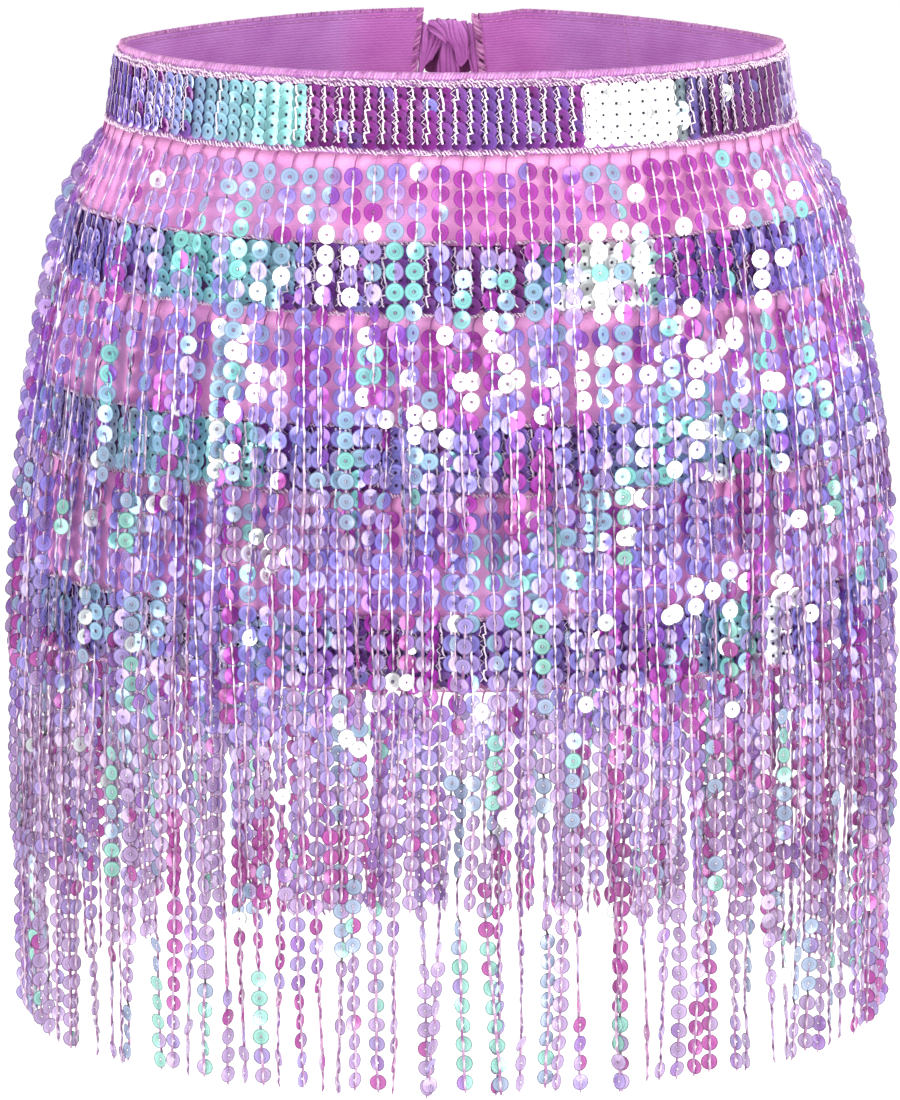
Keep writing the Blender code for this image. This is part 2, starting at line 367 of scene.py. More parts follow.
def cloth_frame(share, height, out):
    """Points of the worn cloth and the outward direction at each: the share runs from 0 at the slit's
    right edge round to 1 at its left."""
    share, height, out = np.broadcast_arrays(share, height, out)
    width = cloth_width(height)
    wave = sum(part * np.sin(2 * math.pi * count * share + phase) for count, part, phase in FOLDS)
    fold = FOLD_DEPTH * wave * ease((FOLD_TOP - height) / (FOLD_TOP - FOLD_BOTTOM))
    points, outward = ring_frame(slit(height) + share * width, height, out + fold)
    pulled = PULL * (1 - ease(share * width / PULL_REACH)) * (1 - ease(height / PULL_BOTTOM))
    return points - pulled[..., None] * UP, outward


# How much more a strand keeps to the middle of the front or back than the widening alone makes it.
PLUMB = 1.5
QUARTER = np.linspace(0.002, math.pi / 2 - 0.002, 1200)
QUARTER_LEVELS = np.log(np.sin(QUARTER)) - DEPTH_TO_WIDTH**2 * np.log(np.cos(QUARTER))


def plumb_share(share, heights):
    """The share of the cloth's width at which strands hang, when only the cloth's outward push moves
    them off the plumb line. Shares are given at the strands' tops."""
    top = heights[:, :1]
    start = (slit(top) + share[:, None] * cloth_width(top)) / half_width(top)
    angle = np.interp(start, LENGTHS, ANGLES)
    folded = np.minimum(angle % math.pi, math.pi - angle % math.pi)
    level = np.interp(folded, QUARTER, QUARTER_LEVELS)
    level = level - PLUMB * (1 - DEPTH_TO_WIDTH**2) * np.log(half_width(heights) / half_width(top))
    moved = np.interp(level, QUARTER_LEVELS, QUARTER) - folded
    towards = np.where(angle % math.pi < math.pi / 2, 1.0, -1.0)
    settled = np.interp(angle + moved * towards, ANGLES, LENGTHS)
    return (settled * half_width(heights) - slit(heights)) / cloth_width(heights)


# ---------------------------------------- meshes


def unit(vectors):
    return vectors / np.linalg.norm(vectors, axis=-1, keepdims=True)


def grid_faces(rows, columns, closed=False):
    """Faces of a grid of points stored row by row. A closed grid's last column joins its first."""
    steps = np.arange(columns if closed else columns - 1)
    row, column = np.meshgrid(np.arange(rows - 1), steps, indexing="ij")
    first, second = row * columns + column, row * columns + (column + 1) % columns
    return np.stack((first, second, second + columns, first + columns), -1).reshape(-1, 4)


def add_object(name, data):
    added = bpy.data.objects.new(name, data)
    bpy.context.scene.collection.objects.link(added)
    return added


def add_mesh(name, points, faces, material):
    """A piece of the garment, from an array of points and its faces. It rides on the body."""
    mesh = bpy.data.meshes.new(name)
    mesh.from_pydata(np.asarray(points).reshape(-1, 3), [], faces)
    mesh.materials.append(material)
    mesh.shade_smooth()
    piece = add_object(name, mesh)
    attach(piece, BODY)
    return piece


def paint(piece, name, colours, domain):
    """Stores colours on a piece's corners or points, for its material to read."""
    layer = piece.data.color_attributes.new(name, "FLOAT_COLOR", domain)
    layer.data.foreach_set("color", np.hstack((colours, np.ones((len(colours), 1)))).ravel())


def store(piece, name, values):
    """Stores a number on each of a piece's points, for its material to read."""
    piece.data.attributes.new(name, "FLOAT", "POINT").data.foreach_set("value", values.ravel())


def map_surface(piece, name, coordinates):
    """A map of the piece's surface from coordinates of its points."""
    corners = np.empty(len(piece.data.loops), dtype=np.int32)
    piece.data.loops.foreach_get("vertex_index", corners)
    layer = piece.data.uv_layers.new(name=name)
    layer.data.foreach_set("uv", coordinates.reshape(-1, 2)[corners].ravel())


def add_cloth(name, points, faces, along, down, material, wall=None, offset=0):
    """A piece of cloth, whose weave is laid by distances along and down it, with its wall if it is
    an open surface."""
    piece = add_mesh(name, points, faces, material)
    map_surface(piece, "cloth", np.stack(np.broadcast_arrays(along, down), -1))
    if wall:
        thick = piece.modifiers.new("wall", "SOLIDIFY")
        thick.thickness, thick.offset = wall, offset
    return piece


def tubes(paths, outward, radius, sides):
    """Points and faces of tubes along paths: arrays of paths by points by coordinates."""
    paths = np.asarray(paths)
    count, steps = paths.shape[:2]
    tangent = unit(np.gradient(paths, axis=1))
    aside = unit(np.cross(tangent, outward))
    towards = np.cross(aside, tangent)
    angle = (np.arange(sides) + 0.5) * 2 * math.pi / sides
    radius = np.broadcast_to(radius, (count, steps))[..., None, None]
    ring = np.cos(angle)[:, None] * towards[:, :, None] + np.sin(angle)[:, None] * aside[:, :, None]
    points = paths[:, :, None] + ring * radius
    first = np.arange(count)[:, None, None] * steps * sides
    faces = (grid_faces(steps, sides, closed=True)[None] + first).reshape(-1, 4)
    return points.reshape(-1, 3), faces


def add_thread(name, points, faces, colours, thread):
    """Thread in tubes, with a colour for each point, or for each ring of points."""
    piece = add_mesh(name, points, faces, thread)
    colours = colours.reshape(-1, 3)
    paint(piece, "thread", np.repeat(colours, len(points) // len(colours), axis=0), "POINT")
    return piece


# ---------------------------------------- materials


def new_material(name):
    material = bpy.data.materials.new(name)
    material.use_nodes = True
    tree = material.node_tree
    return material, tree, tree.nodes["Principled BSDF"]


def add_node(tree, kind, inputs=None, **settings):
    """A shader node with its settings, and its inputs set to values or linked to sockets."""
    node = tree.nodes.new(kind)
    for name, value in settings.items():
        setattr(node, name, value)
    set_inputs(tree, node, inputs or {})
    return node


def set_inputs(tree, node, values):
    for name, value in values.items():
        if isinstance(value, bpy.types.NodeSocket):
            tree.links.new(value, node.inputs[name])
        else:
            node.inputs[name].default_value = value


def read_attribute(tree, name):
    return add_node(tree, "ShaderNodeAttribute", attribute_name=name)


def ramp(tree, value, stops):
    """A colour ramp whose stops are (place, grey value or colour)."""
    node = add_node(tree, "ShaderNodeValToRGB", {"Fac": value})
    band = node.color_ramp
    while len(band.elements) < len(stops):
        band.elements.new(0.5)
    for element, (place, colour) in zip(band.elements, stops):
        element.position = place
        element.color = (colour, colour, colour, 1.0) if np.isscalar(colour) else rgba(colour)
    return node.outputs["Color"]


def multiply(tree, first, second, share=1.0):
    """One colour multiplied by another."""
    inputs = {0: share, 6: first, 7: second}
    return add_node(tree, "ShaderNodeMix", inputs, data_type="RGBA", blend_type="MULTIPLY").outputs[2]


# How light a sequin is painted from its hole to its rim: painted shade at the hole, in a pressed ring and at
# a dark rim.
RING_PAINTED_SHADE = (
    (0, 0.06),
    (0.10, 0.80),
    (0.38, 0.96),
    (0.46, 0.66),
    (0.55, 1),
    (0.85, 1),
    (0.92, 0.66),
    (1, 0.28),
)


def sequin_material():
    """Iridescent film on a clear disc, its own colour on each sequin. The more it gleams, the less
    shows through it."""
    material, tree, shader = new_material("sequin_film")
    # Painted shade round the hole, in a ring and at the rim.
    painted_ring_shade = ramp(tree, read_attribute(tree, "ring").outputs["Fac"], RING_PAINTED_SHADE)
    colour = multiply(tree, read_attribute(tree, "film").outputs["Color"], painted_ring_shade)
    gleam = read_attribute(tree, "gleam").outputs["Fac"]
    mirror = add_node(
        tree, "ShaderNodeMapRange", {"Value": gleam, "From Min": -0.4, "To Min": 0.08, "To Max": 0.52}
    )
    clear = read_attribute(tree, "clear").outputs["Fac"]
    set_inputs(tree, shader, {
        "Base Color": colour,
        "Metallic": mirror.outputs[0],
        "Roughness": 0.22,
        "Coat Weight": 0.5,
        "Coat Roughness": 0.08,
    })
    glow = add_node(tree, "ShaderNodeBsdfTranslucent", {"Color": colour})
    mixed = add_node(tree, "ShaderNodeMixShader", {0: 0.34, 1: shader.outputs[0], 2: glow.outputs[0]})
    through = add_node(tree, "ShaderNodeBsdfTransparent")
    whole = add_node(
        tree, "ShaderNodeMixShader", {0: clear, 1: mixed.outputs[0], 2: through.outputs[0]}
    )
    tree.links.new(whole.outputs[0], tree.nodes["Material Output"].inputs["Surface"])
    return material


def thread_material():
    """Soft twisted thread, whose colour is stored along it."""
    material, tree, shader = new_material("soft_thread")
    noise = add_node(tree, "ShaderNodeTexNoise", {"Scale": 900.0, "Detail": 2.0})
    place = add_node(tree, "ShaderNodeTexCoord")
    tree.links.new(place.outputs["Object"], noise.inputs["Vector"])
    shade = ramp(tree, noise.outputs["Fac"], ((0.3, 0.78), (0.65, 1)))
    colour = multiply(tree, read_attribute(tree, "thread").outputs["Color"], shade)
    set_inputs(tree, shader, {
        "Base Color": colour,
        "Roughness": 0.55,
        "Sheen Weight": 0.3,
        "Sheen Roughness": 0.4,
    })
    return material


def cloth_material(name, colour, shadow, rib, strength, deep=None):
    """Stretch knit: fine ribs along the cloth, soft mottling and a short nap. Where a deep colour is
    given, it shows where the piece's stored number is low: painted shade in the tie's folds, and the
    waistband's pinker colour beside the slit."""
    material, tree, shader = new_material(name)
    uv = add_node(tree, "ShaderNodeUVMap", uv_map="cloth").outputs[0]
    ribs = add_node(
        tree,
        "ShaderNodeTexWave",
        {"Vector": uv, "Scale": rib, "Distortion": 2.2, "Detail": 2.0, "Detail Scale": 3.0},
        wave_type="BANDS",
        bands_direction="Y",
    ).outputs["Fac"]
    mottle, grain = (
        add_node(tree, "ShaderNodeTexNoise", {"Vector": uv, "Scale": scale, "Detail": detail}).outputs["Fac"]
        for scale, detail in ((60.0, 5.0), (1500.0, 2.0))
    )
    base = ramp(tree, mottle, ((0.32, shadow), (0.62, colour)))
    ribbed = multiply(tree, base, ramp(tree, ribs, ((0.1, 0.80), (0.7, 1))), strength)
    worn = multiply(tree, ribbed, ramp(tree, grain, ((0.3, 0.86), (0.7, 1.04))), 0.8)
    if deep is not None:
        fold = ramp(tree, read_attribute(tree, "shade").outputs["Fac"], ((0, deep), (0.75, 1)))
        worn = multiply(tree, worn, fold)
    bump = add_node(
        tree, "ShaderNodeBump", {"Height": ribs, "Strength": 0.35 * strength, "Distance": 0.25 * MM}
    ).outputs[0]
    fine = add_node(
        tree,
        "ShaderNodeBump",
        {"Height": grain, "Normal": bump, "Strength": 0.3, "Distance": 0.15 * MM},
    ).outputs[0]
    set_inputs(tree, shader, {
        "Base Color": worn,
        "Normal": fine,
        "Roughness": 0.8,
        "Sheen Weight": 0.35,
        "Sheen Roughness": 0.45,
        "Sheen Tint": rgba(colour),
    })
    return material


# ---------------------------------------- stage

# The camera stands in front, above the waist, and looks a little down.
CAMERA_PLACE, CAMERA_TILT, CAMERA_LENS = (-0.0005, -2.05, 0.2795), 77.292, 193.47

# Softboxes round the middle of the garment. Columns: name, azimuth from the front towards the right
# and elevation in degrees, distance, width and height in metres, and radiance.
SOFTBOXES = (
    ("key", 46, -1, 2.4, 1.25, 1.35, 9.0),
    ("fill", -50, 2, 2.4, 1.1, 1.3, 7.9),
    ("top", 8, 62, 2.2, 1.6, 1.2, 4.0),
    ("back_right", 130, 2, 2.4, 1.0, 1.3, 4.0),
    ("back_left", 230, 2, 2.4, 1.0, 1.3, 6.0),
)
MIDDLE = np.array((0.0, 0.0, -0.15))
FLOOR_HALF, FLOOR_LEVEL = 14.0, -0.85


def add_camera():
    data = bpy.data.cameras.new("camera")
    data.lens = CAMERA_LENS
    data.clip_start, data.clip_end = 0.1, 50.0
    camera = add_object("camera", data)
    camera.location = CAMERA_PLACE
    camera.rotation_euler = (math.radians(CAMERA_TILT), 0.0, 0.0)
    bpy.context.scene.camera = camera


def add_lights():
    for name, azimuth, elevation, distance, wide, high, radiance in SOFTBOXES:
        data = bpy.data.lights.new(name, "AREA")
        data.shape = "RECTANGLE"
        data.size, data.size_y = wide, high
        data.energy = radiance * math.pi * wide * high
        light = add_object(name, data)
        turn, rise = math.radians(azimuth), math.radians(elevation)
        level = math.cos(rise)
        place = np.array((math.sin(turn) * level, -math.cos(turn) * level, math.sin(rise)))
        light.location = MIDDLE + distance * place
        light.rotation_euler = (math.pi / 2 - rise, 0.0, turn)
        light.visible_camera = False


def add_world():
    """A white studio, dimmer in front of the garment than round it."""
    world = bpy.data.worlds.new("studio")
    bpy.context.scene.world = world
    world.use_nodes = True
    tree = world.node_tree
    direction = add_node(tree, "ShaderNodeTexCoord")
    parts = add_node(tree, "ShaderNodeSeparateXYZ", {"Vector": direction.outputs["Generated"]})
    shade = add_node(
        tree,
        "ShaderNodeMapRange",
        {"Value": parts.outputs["Y"], "From Min": -1.0, "From Max": 0.1, "To Min": 0.34, "To Max": 0.8},
    )
    seen = add_node(tree, "ShaderNodeLightPath").outputs["Is Camera Ray"]
    whole = add_node(tree, "ShaderNodeMath", {0: shade.outputs[0], 1: seen}, operation="MAXIMUM")
    background = {"Strength": whole.outputs[0], "Color": (1.0, 1.0, 1.0, 1.0)}
    set_inputs(tree, tree.nodes["Background"], background)


def add_floor():
    """A plain pale floor, well below the fringe."""
    corners = ((-1, -1), (1, -1), (1, 1), (-1, 1))
    mesh = bpy.data.meshes.new("floor")
    mesh.from_pydata([(FLOOR_HALF * x, FLOOR_HALF * y, FLOOR_LEVEL) for x, y in corners], [], [range(4)])
    material, tree, shader = new_material("pale_floor")
    noise = add_node(tree, "ShaderNodeTexNoise", {"Scale": 3.0})
    set_inputs(tree, shader, {
        "Base Color": ramp(tree, noise.outputs["Fac"], ((0.3, 0.93), (0.7, 0.95))),
        "Roughness": 0.9,
        "Emission Color": (1.0, 1.0, 1.0, 1.0),
        "Emission Strength": 0.35,
    })
    mesh.materials.append(material)
    add_object("floor", mesh)


# ---------------------------------------- sequins

DISC_SIDES = 16
# Rings of a pressed sequin, from its hole out. Columns: radius, how far it stands forward, in mm.
DISC_RINGS = (
    (0.45, 0.0),
    (3.25, 0.30),
)
# How near to its painted dark rim a band's sequin comes, from 0 to 1, and how far past it a hanging one
# goes.
BAND_RIM, FREE_RIM = 0.91, 0.05
# Across a band's sequin, in radii: where its right side, lighter by a painted highlight, and its left side,
# darker by painted shade, begin, how wide the changes are, and how much darker the painted shade makes
# the left of a deep colour.
RIGHT_FROM, LEFT_FROM, SIDE_CHANGE, LEFT_PAINTED_SHADE = 0.35, -0.05, 0.6, 0.72
# The share of sequins whose two halves show different colours, painted where the film has bent, as the
# halves would catch the light differently; the disc itself is not bent.
BENT_SHARE = 0.2
# How far the sequins that stand edge to the cloth have the colours of hanging ones, from 0 to 1.
BESIDE_LOOSE = 0.6
# How clear the clearest sequins are: on the cloth, hanging free, and in the bands.
WORN_CLEAR, HUNG_CLEAR, BAND_CLEAR = 0.16, 0.03, 0.05


def disc():
    """One sequin facing +Z: its points, its faces and each point's place from hole to rim."""
    angle = np.arange(DISC_SIDES) * 2 * math.pi / DISC_SIDES
    points = np.array([
        (r * math.cos(a), r * math.sin(a), forward) for r, forward in DISC_RINGS for a in angle
    ]) * MM
    faces = grid_faces(len(DISC_RINGS), DISC_SIDES, closed=True)
    inner, outer = DISC_RINGS[0][0], DISC_RINGS[-1][0]
    place = (np.hypot(points[:, 0], points[:, 1]) / MM - inner) / (outer - inner)
    return points, faces[:, ::-1], place


def add_discs(name, centres, facing, down, films, clear, size, rim, material, on_band):
    """Sequins joined into one piece: where each is, which way it faces, the colour and gleam of its
    left side and of its right, how clear it is, its size and how much of its painted dark rim shows.
    In a band the colour changes little by little from the left, which is the deepest, darkened by
    painted shade, and in a fringe it changes at the thread."""
    template, faces, place = disc()
    centres, facing, down = (np.reshape(rows, (-1, 3)) for rows in (centres, facing, down))
    left_film, right_film = (np.reshape(rows, (-1, 1, 1, 4)) for rows in films)
    count, corners = len(centres), len(template)
    forward = unit(facing)
    aside = unit(np.cross(forward, down))
    axes = np.stack((aside, np.cross(forward, aside), forward), axis=1)
    sizes = np.broadcast_to(np.ravel(size), count)[:, None, None]
    points = centres[:, None] + sizes * (template @ axes)
    all_faces = (faces[None] + corners * np.arange(count)[:, None, None]).reshape(-1, 4)
    piece = add_mesh(name, points, all_faces, material)
    across = template[faces][..., 0] / SEQUIN_RADIUS
    if on_band:
        right = ease((across - RIGHT_FROM) / SIDE_CHANGE)
        shade = 1 - LEFT_PAINTED_SHADE * ease((LEFT_FROM - across) / SIDE_CHANGE)
    else:
        right = (across.mean(axis=1, keepdims=True) > 0) + 0.0 * across
        shade = np.ones(across.shape)
    # Deep colours take deep painted shade on their left, and pale ones hardly any.
    depth = np.clip(1.4 - 1.6 * left_film[..., :3].mean(axis=-1), 0, 1)
    film = left_film[..., :3] * (1 - right)[..., None] + right_film[..., :3] * right[..., None]
    paint(piece, "film", (film * (shade**depth)[..., None]).reshape(-1, 3), "CORNER")
    store(piece, "ring", place * np.broadcast_to(np.ravel(rim), count)[:, None])
    store(piece, "gleam", np.repeat(left_film[..., 3], corners))
    store(piece, "clear", np.repeat(clear, corners))
    # Each sequin has a cell of its own in the OFBake map.
    cells = math.ceil(math.sqrt(count))
    number = np.arange(count)[:, None]
    inside = 0.5 + 0.44 * template[None, :, :2] / SEQUIN_RADIUS
    corner = np.stack((number % cells, number // cells), -1)
    map_surface(piece, "OFBake", (corner + inside) / cells)
    return piece


def patchy(rng, along, down, along_size, down_size):
    """Smooth noise over a surface, from about -1 to 1, with patches of the sizes given."""
    total = np.zeros(np.broadcast(along, down).shape)
    for _ in range(6):
        turn = rng.uniform(0, 2 * math.pi)
        stretch = rng.uniform(0.6, 1.5)
        wave = math.cos(turn) * along / along_size + math.sin(turn) * down / down_size
        total = total + np.sin(math.pi * stretch * wave + rng.uniform(0, 2 * math.pi))
    return total / 2.4


def turned_across(points):
    """Millimetres across the front, from its left to its right, and the same seen from behind."""
    return np.where(points[..., 1] < 0, points[..., 0], -points[..., 0]) / MM


def glint_chance(points):
    """How often the sequins at these places are painted white as glints."""
    across, height = turned_across(points), points[..., 2] / MM
    chance = np.full(height.shape, STRAY_GLINTS)
    for x, z, wide, high, strength in GLINTS:
        chance += strength * np.exp(-(((across - x) / wide) ** 2) - ((height - z) / high) ** 2)
    return np.where(height > GLINTS_END, chance, chance * LOW_GLINTS)


def face_light(rng, points):
    """Which way sequins face where they throw a softbox's light forwards, or backwards on the back."""
    azimuth = GLINT_AZIMUTH - GLINT_TURN * turned_across(points) / 100
    azimuth = azimuth + rng.normal(0, GLINT_STRAY, points.shape[:-1])
    rise = GLINT_RISE + rng.normal(0, GLINT_STRAY_RISE, points.shape[:-1])
    level = np.stack((np.sin(azimuth) * np.cos(rise), -np.cos(azimuth) * np.cos(rise)), -1)
    front = np.where(points[..., 1:2] < 0, 1.0, -1.0)
    return np.concatenate((level * front, np.sin(rise)[..., None]), axis=-1)


def film_choice(level, height):
    """Which film colour shows, for a level from 0 to 1 and the mix that belongs to the height."""
    mix = np.array(STRAND_MIX)[::-1]
    shares = np.stack([np.interp(height, mix[:, 0], column) for column in mix.T[1:]], -1)
    limits = np.cumsum(shares, axis=-1) / shares.sum(axis=-1, keepdims=True)
    return np.minimum((level[..., None] > limits).sum(axis=-1), WHITE - 1)


def ranked(values):
    """Each value's rank among those of its column, spread evenly from 0 to 1."""
    return (np.argsort(np.argsort(values, axis=0), axis=0) + 0.5) / len(values)


# ---------------------------------------- fringe

# How far each tier's sequins turn away from the front and the back, towards the sides, in degrees:
# on the left and on the right.
SIDE_LEAN = {
    "1": (16, -2),
    "2": (18, 8),
    "3": (20, 18),
    "4": (22, 22),
}
# The share of strands that show their backs, and of those that cross others, with how far their ends
# lean aside and out.
BACK_SHARE, CROSSING_SHARE, CROSSING_LEAN, CROSSING_LIFT = 0.06, 0.10, 5 * MM, 1 * MM
# How far strands stray: up or down at their tops, aside at their ends, aside in waves, and outwards.
START_STRAY, END_STRAY, WAVE_STRAY, OUT_STRAY = 0.8 * MM, 1.3 * MM, 0.8 * MM, 0.35 * MM
# The height over which strands come free of the cloth, and how much of it is above the tier's own
# height for that.
FREE_OVER, FREE_ABOVE = 40.0, 10

# How strands twist, in degrees: at their tops, their drift where they hang free, and from one sequin
# to the next, with how much more it is where they are loose. They are loose after some sequins.
TOP_TWIST, FREE_DRIFT, STEP_TWIST, LOOSE_TWIST, LOOSE_AFTER = 14, 10, 6, 10, 8
# How much of its twist a strand keeps at each sequin, and how much more where it is loose.
TWIST_KEPT, LOOSE_KEPT = 0.86, 0.08
# How far sequins nod up or down.
NOD = math.radians(6)
# How large the patches of one film colour are, across and down, in mm.
PATCH_WIDE, PATCH_HIGH = 40.0, 44.0

# A strand's thread from the chain to its first sequin. Columns: how far beside the strand, in mm, how
# far down the gap, and how light.
ROOT_PATH = (
    (-2.9, 0, 0.60),
    (-2.0, 0.04, 0.25),
    (-0.9, 0.16, 0.10),
    (-0.2, 0.42, 0.15),
    (0, 0.75, 0.45),
)
ROOT_RADIUS, TIP_RADIUS = 0.36, 0.3
# A strand's thread along each sequin. Columns: how far down from its middle and how far in front, then
# the thread's radius on the cloth and where it hangs free, all in mm, and how light it is painted in both:
# on the cloth painted shade where it dips at the hole, and hanging free a painted highlight in the middle
# with painted shade between sequins.
THREAD_RUN = (
    (-1.9, 0.55, 0.41, 0.58, 0.95, 0.16),
    (0, 0.36, 0.22, 0.38, 0.22, 0.80),
    (1.9, 0.55, 0.41, 0.58, 1.00, 0.16),
)


def swing_out(height, root, hang):
    """How far off the cloth a strand hangs, in metres."""
    return 0.9 * MM + hang * MM * ease((root - height) / STRAND_SWING)


def hang_heights(root, hang, lengths):
    """The heights that a strand reaches at lengths along it, as it follows the figure."""
    heights = np.linspace(root, -358.0, 1200)
    out = half_width(heights) * (1 + DEPTH_TO_WIDTH) / 2 + swing_out(heights, root, hang)
    run = np.concatenate(([0.0], np.cumsum(np.hypot(np.diff(heights) * MM, np.diff(out)))))
    return np.interp(lengths, run, heights)


def strand_places(rng, tier):
    """Where the sequins of a fringe are: shares at the top, places, outward directions, heights,
    distances from the cloth, and how free they hang."""
    _, _, bottom, _, count, hang, free_below = tier
    root = bottom - CHAIN_DROP
    share = (np.arange(count) + 0.5) / count
    margin = END_MARGIN / cloth_width(root)
    share = margin + (1 - 2 * margin) * (share - share[0]) / (share[-1] - share[0])
    start = ROOT_GAP + rng.normal(0, START_STRAY, count)
    lengths = start[:, None] + (np.arange(SEQUINS_PER_STRAND) + 0.5) * SEQUIN_PITCH
    heights = hang_heights(root, hang, lengths)
    down = lengths / (SEQUINS_PER_STRAND * SEQUIN_PITCH)
    crossing = rng.uniform(size=count) < CROSSING_SHARE
    lean = rng.normal(0, END_STRAY, count)
    lean = lean + crossing * rng.choice((-CROSSING_LEAN, CROSSING_LEAN), count)
    phase = rng.uniform(0, 2 * math.pi, (count, 2))
    wave = np.sin(down * 6.0 + phase[:, :1]) - np.sin(phase[:, :1])
    aside = lean[:, None] * down**1.6 + WAVE_STRAY * wave * np.minimum(down * 2, 1)
    layer = rng.normal(0, OUT_STRAY, count)[:, None] * ease((root - heights) / STRAND_SWING)
    out = swing_out(heights, root, hang) + layer + CROSSING_LIFT * crossing[:, None] * down
    settled = plumb_share(share, heights)
    places, outward = cloth_frame(settled + aside / cloth_width(heights), heights, out)
    free = ease((free_below + FREE_ABOVE - heights) / FREE_OVER)
    return share, places, outward, heights, out, free


def turn_strands(rng, outward, free, room, beside, leans):
    """How far each sequin of each strand is turned about the strand, in radians, and how far it is
    twisted from its strand's own lie. They start nearly flat on the cloth, turn more as they hang,
    and lean away from the front and the back towards the sides. Those that stand beside the garment
    are edge to the cloth."""
    count, steps = free.shape
    back = rng.uniform(size=count) < BACK_SHARE
    twist = np.zeros((count, steps))
    now = rng.normal(0, math.radians(TOP_TWIST), count)
    drift = rng.normal(0, math.radians(FREE_DRIFT), count)
    for j in range(steps):
        loose = min(j / LOOSE_AFTER, 1.0)
        step = rng.normal(0, 1, count) * math.radians(STEP_TWIST + LOOSE_TWIST * loose)
        now = now * (TWIST_KEPT + LOOSE_KEPT * loose) + step + 0.9 * drift * free[:, j]
        twist[:, j] = now
    sideways = outward[..., 0] * np.tanh(-6 * outward[..., 1])
    lean = np.radians(np.where(sideways < 0, *leans)) * ease((np.abs(sideways) - 0.35) / 0.4) * (1 - free)
    turn = twist - np.sign(sideways) * np.where(beside[:, None], 0.0, lean)
    turn += np.where(beside, rng.choice((-0.5, 0.5), count) * math.pi, 0.0)[:, None]
    turn += np.where(back, math.pi, 0.0)[:, None]
    nearest = np.round(turn / math.pi) * math.pi
    limit = np.arcsin(np.clip(room / SEQUIN_RADIUS, 0.1, 1.0))
    return nearest + np.clip(turn - nearest, -limit, limit), twist


def strand_films(rng, share, places, heights, free, twist):
    """Which film colour each sequin of a fringe shows: they change slowly down a strand and from one
    strand to the next, and more slowly where the strands hang free."""
    shape = heights.shape
    patches = patchy(rng, share[:, None] * 800, heights, PATCH_WIDE, PATCH_HIGH)
    # The film's colour partly follows each sequin's twist, a painted stand-in for the film's shift of colour
    # as it turns to the light.
    level = 0.4 * np.cos(2 * twist) + 0.6 * patches
    level = level + rng.normal(0, 0.22, shape) * (1 - 0.6 * free)
    level = level + rng.normal(0, 0.3, (len(share), 1)) * (1 + free)
    choice = film_choice(ranked(level), heights)
    across, height = turned_across(places), places[..., 2] / MM
    for x, z, wide, high, name, often in TINTS:
        near = np.exp(-(((across - x) / wide) ** 4) - ((height - z) / high) ** 4)
        draw = 0.6 * rng.uniform(size=(len(share), 1)) + 0.4 * rng.uniform(size=shape)
        choice = np.where(draw < often * near, FILM_NAMES.index(name), choice)
    return np.where(rng.uniform(size=shape) < glint_chance(places), WHITE, choice)


def strand_colours(rng, choice, heights, free, beside):
    """The colours of a fringe's sequins, on one side of the thread and on the other, and how clear
    they are."""
    shape = choice.shape
    other = film_choice(rng.uniform(size=shape), heights)
    bent = rng.uniform(size=shape) < BENT_SHARE
    # Strands beside the garment are painted darker, as shade.
    shade = 1 + 0.07 * rng.standard_normal(shape) - 0.08 * beside[:, None]
    shade = np.stack((shade, shade, shade, np.ones(shape)), -1)
    loose = np.maximum(free, BESIDE_LOOSE * beside[:, None])[..., None]
    films = [
        ((FILM_ON_CLOTH[k] * (1 - loose) + FILM_HANGING[k] * loose) * shade).clip(-1, 1)
        for k in (choice, np.where(bent, other, choice))
    ]
    clear = (1 - films[0][..., 3].clip(0)) * (WORN_CLEAR + (HUNG_CLEAR - WORN_CLEAR) * free)
    return films, clear


def add_fringe(tier, sequin, thread):
    """A tier's fringe: its strands of sequins, and the threads that carry them."""
    name, _, bottom = tier[:3]
    rng = np.random.default_rng(100 + int(name))
    share, places, outward, heights, out, free = strand_places(rng, tier)
    down = unit(np.gradient(places, axis=1))
    flat = unit(outward - (outward * down).sum(-1, keepdims=True) * down)
    aside = np.cross(down, flat)
    beside = rng.uniform(size=len(share)) < 0.6 * ease((np.abs(outward[:, 10, 0]) - 0.90) / 0.08)
    room = np.where(free > 0.5, SEQUIN_RADIUS, out)
    turn, twist = turn_strands(rng, outward, free, room, beside, SIDE_LEAN[name])
    facing = flat * np.cos(turn)[..., None] + aside * np.sin(turn)[..., None]
    nod = rng.normal(0, NOD, turn.shape)[..., None]
    facing = facing * np.cos(nod) + down * np.sin(nod)
    choice = strand_films(rng, share, places, heights, free, twist)
    choice[beside] = rng.integers(1, 4, choice[beside].shape)
    facing = np.where((choice == WHITE)[..., None], face_light(rng, places), facing)
    films, clear = strand_colours(rng, choice, heights, free, beside)
    size, rim = 1 - FREE_SHRINK * free, 1 + FREE_RIM * free
    discs = add_discs(
        f"fringe_sequins_{name}", places, facing, down, films, clear, size, rim, sequin, False
    )
    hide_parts(f"fringe_{name}")
    # The film's brightest colours show on the side away from the thread.
    over = np.where((choice > FILM_NAMES.index("lavender"))[..., None], -facing, facing)
    threads = add_strand_threads(rng, name, bottom - CHAIN_DROP, share, places, over, down, free, thread)
    return discs, threads


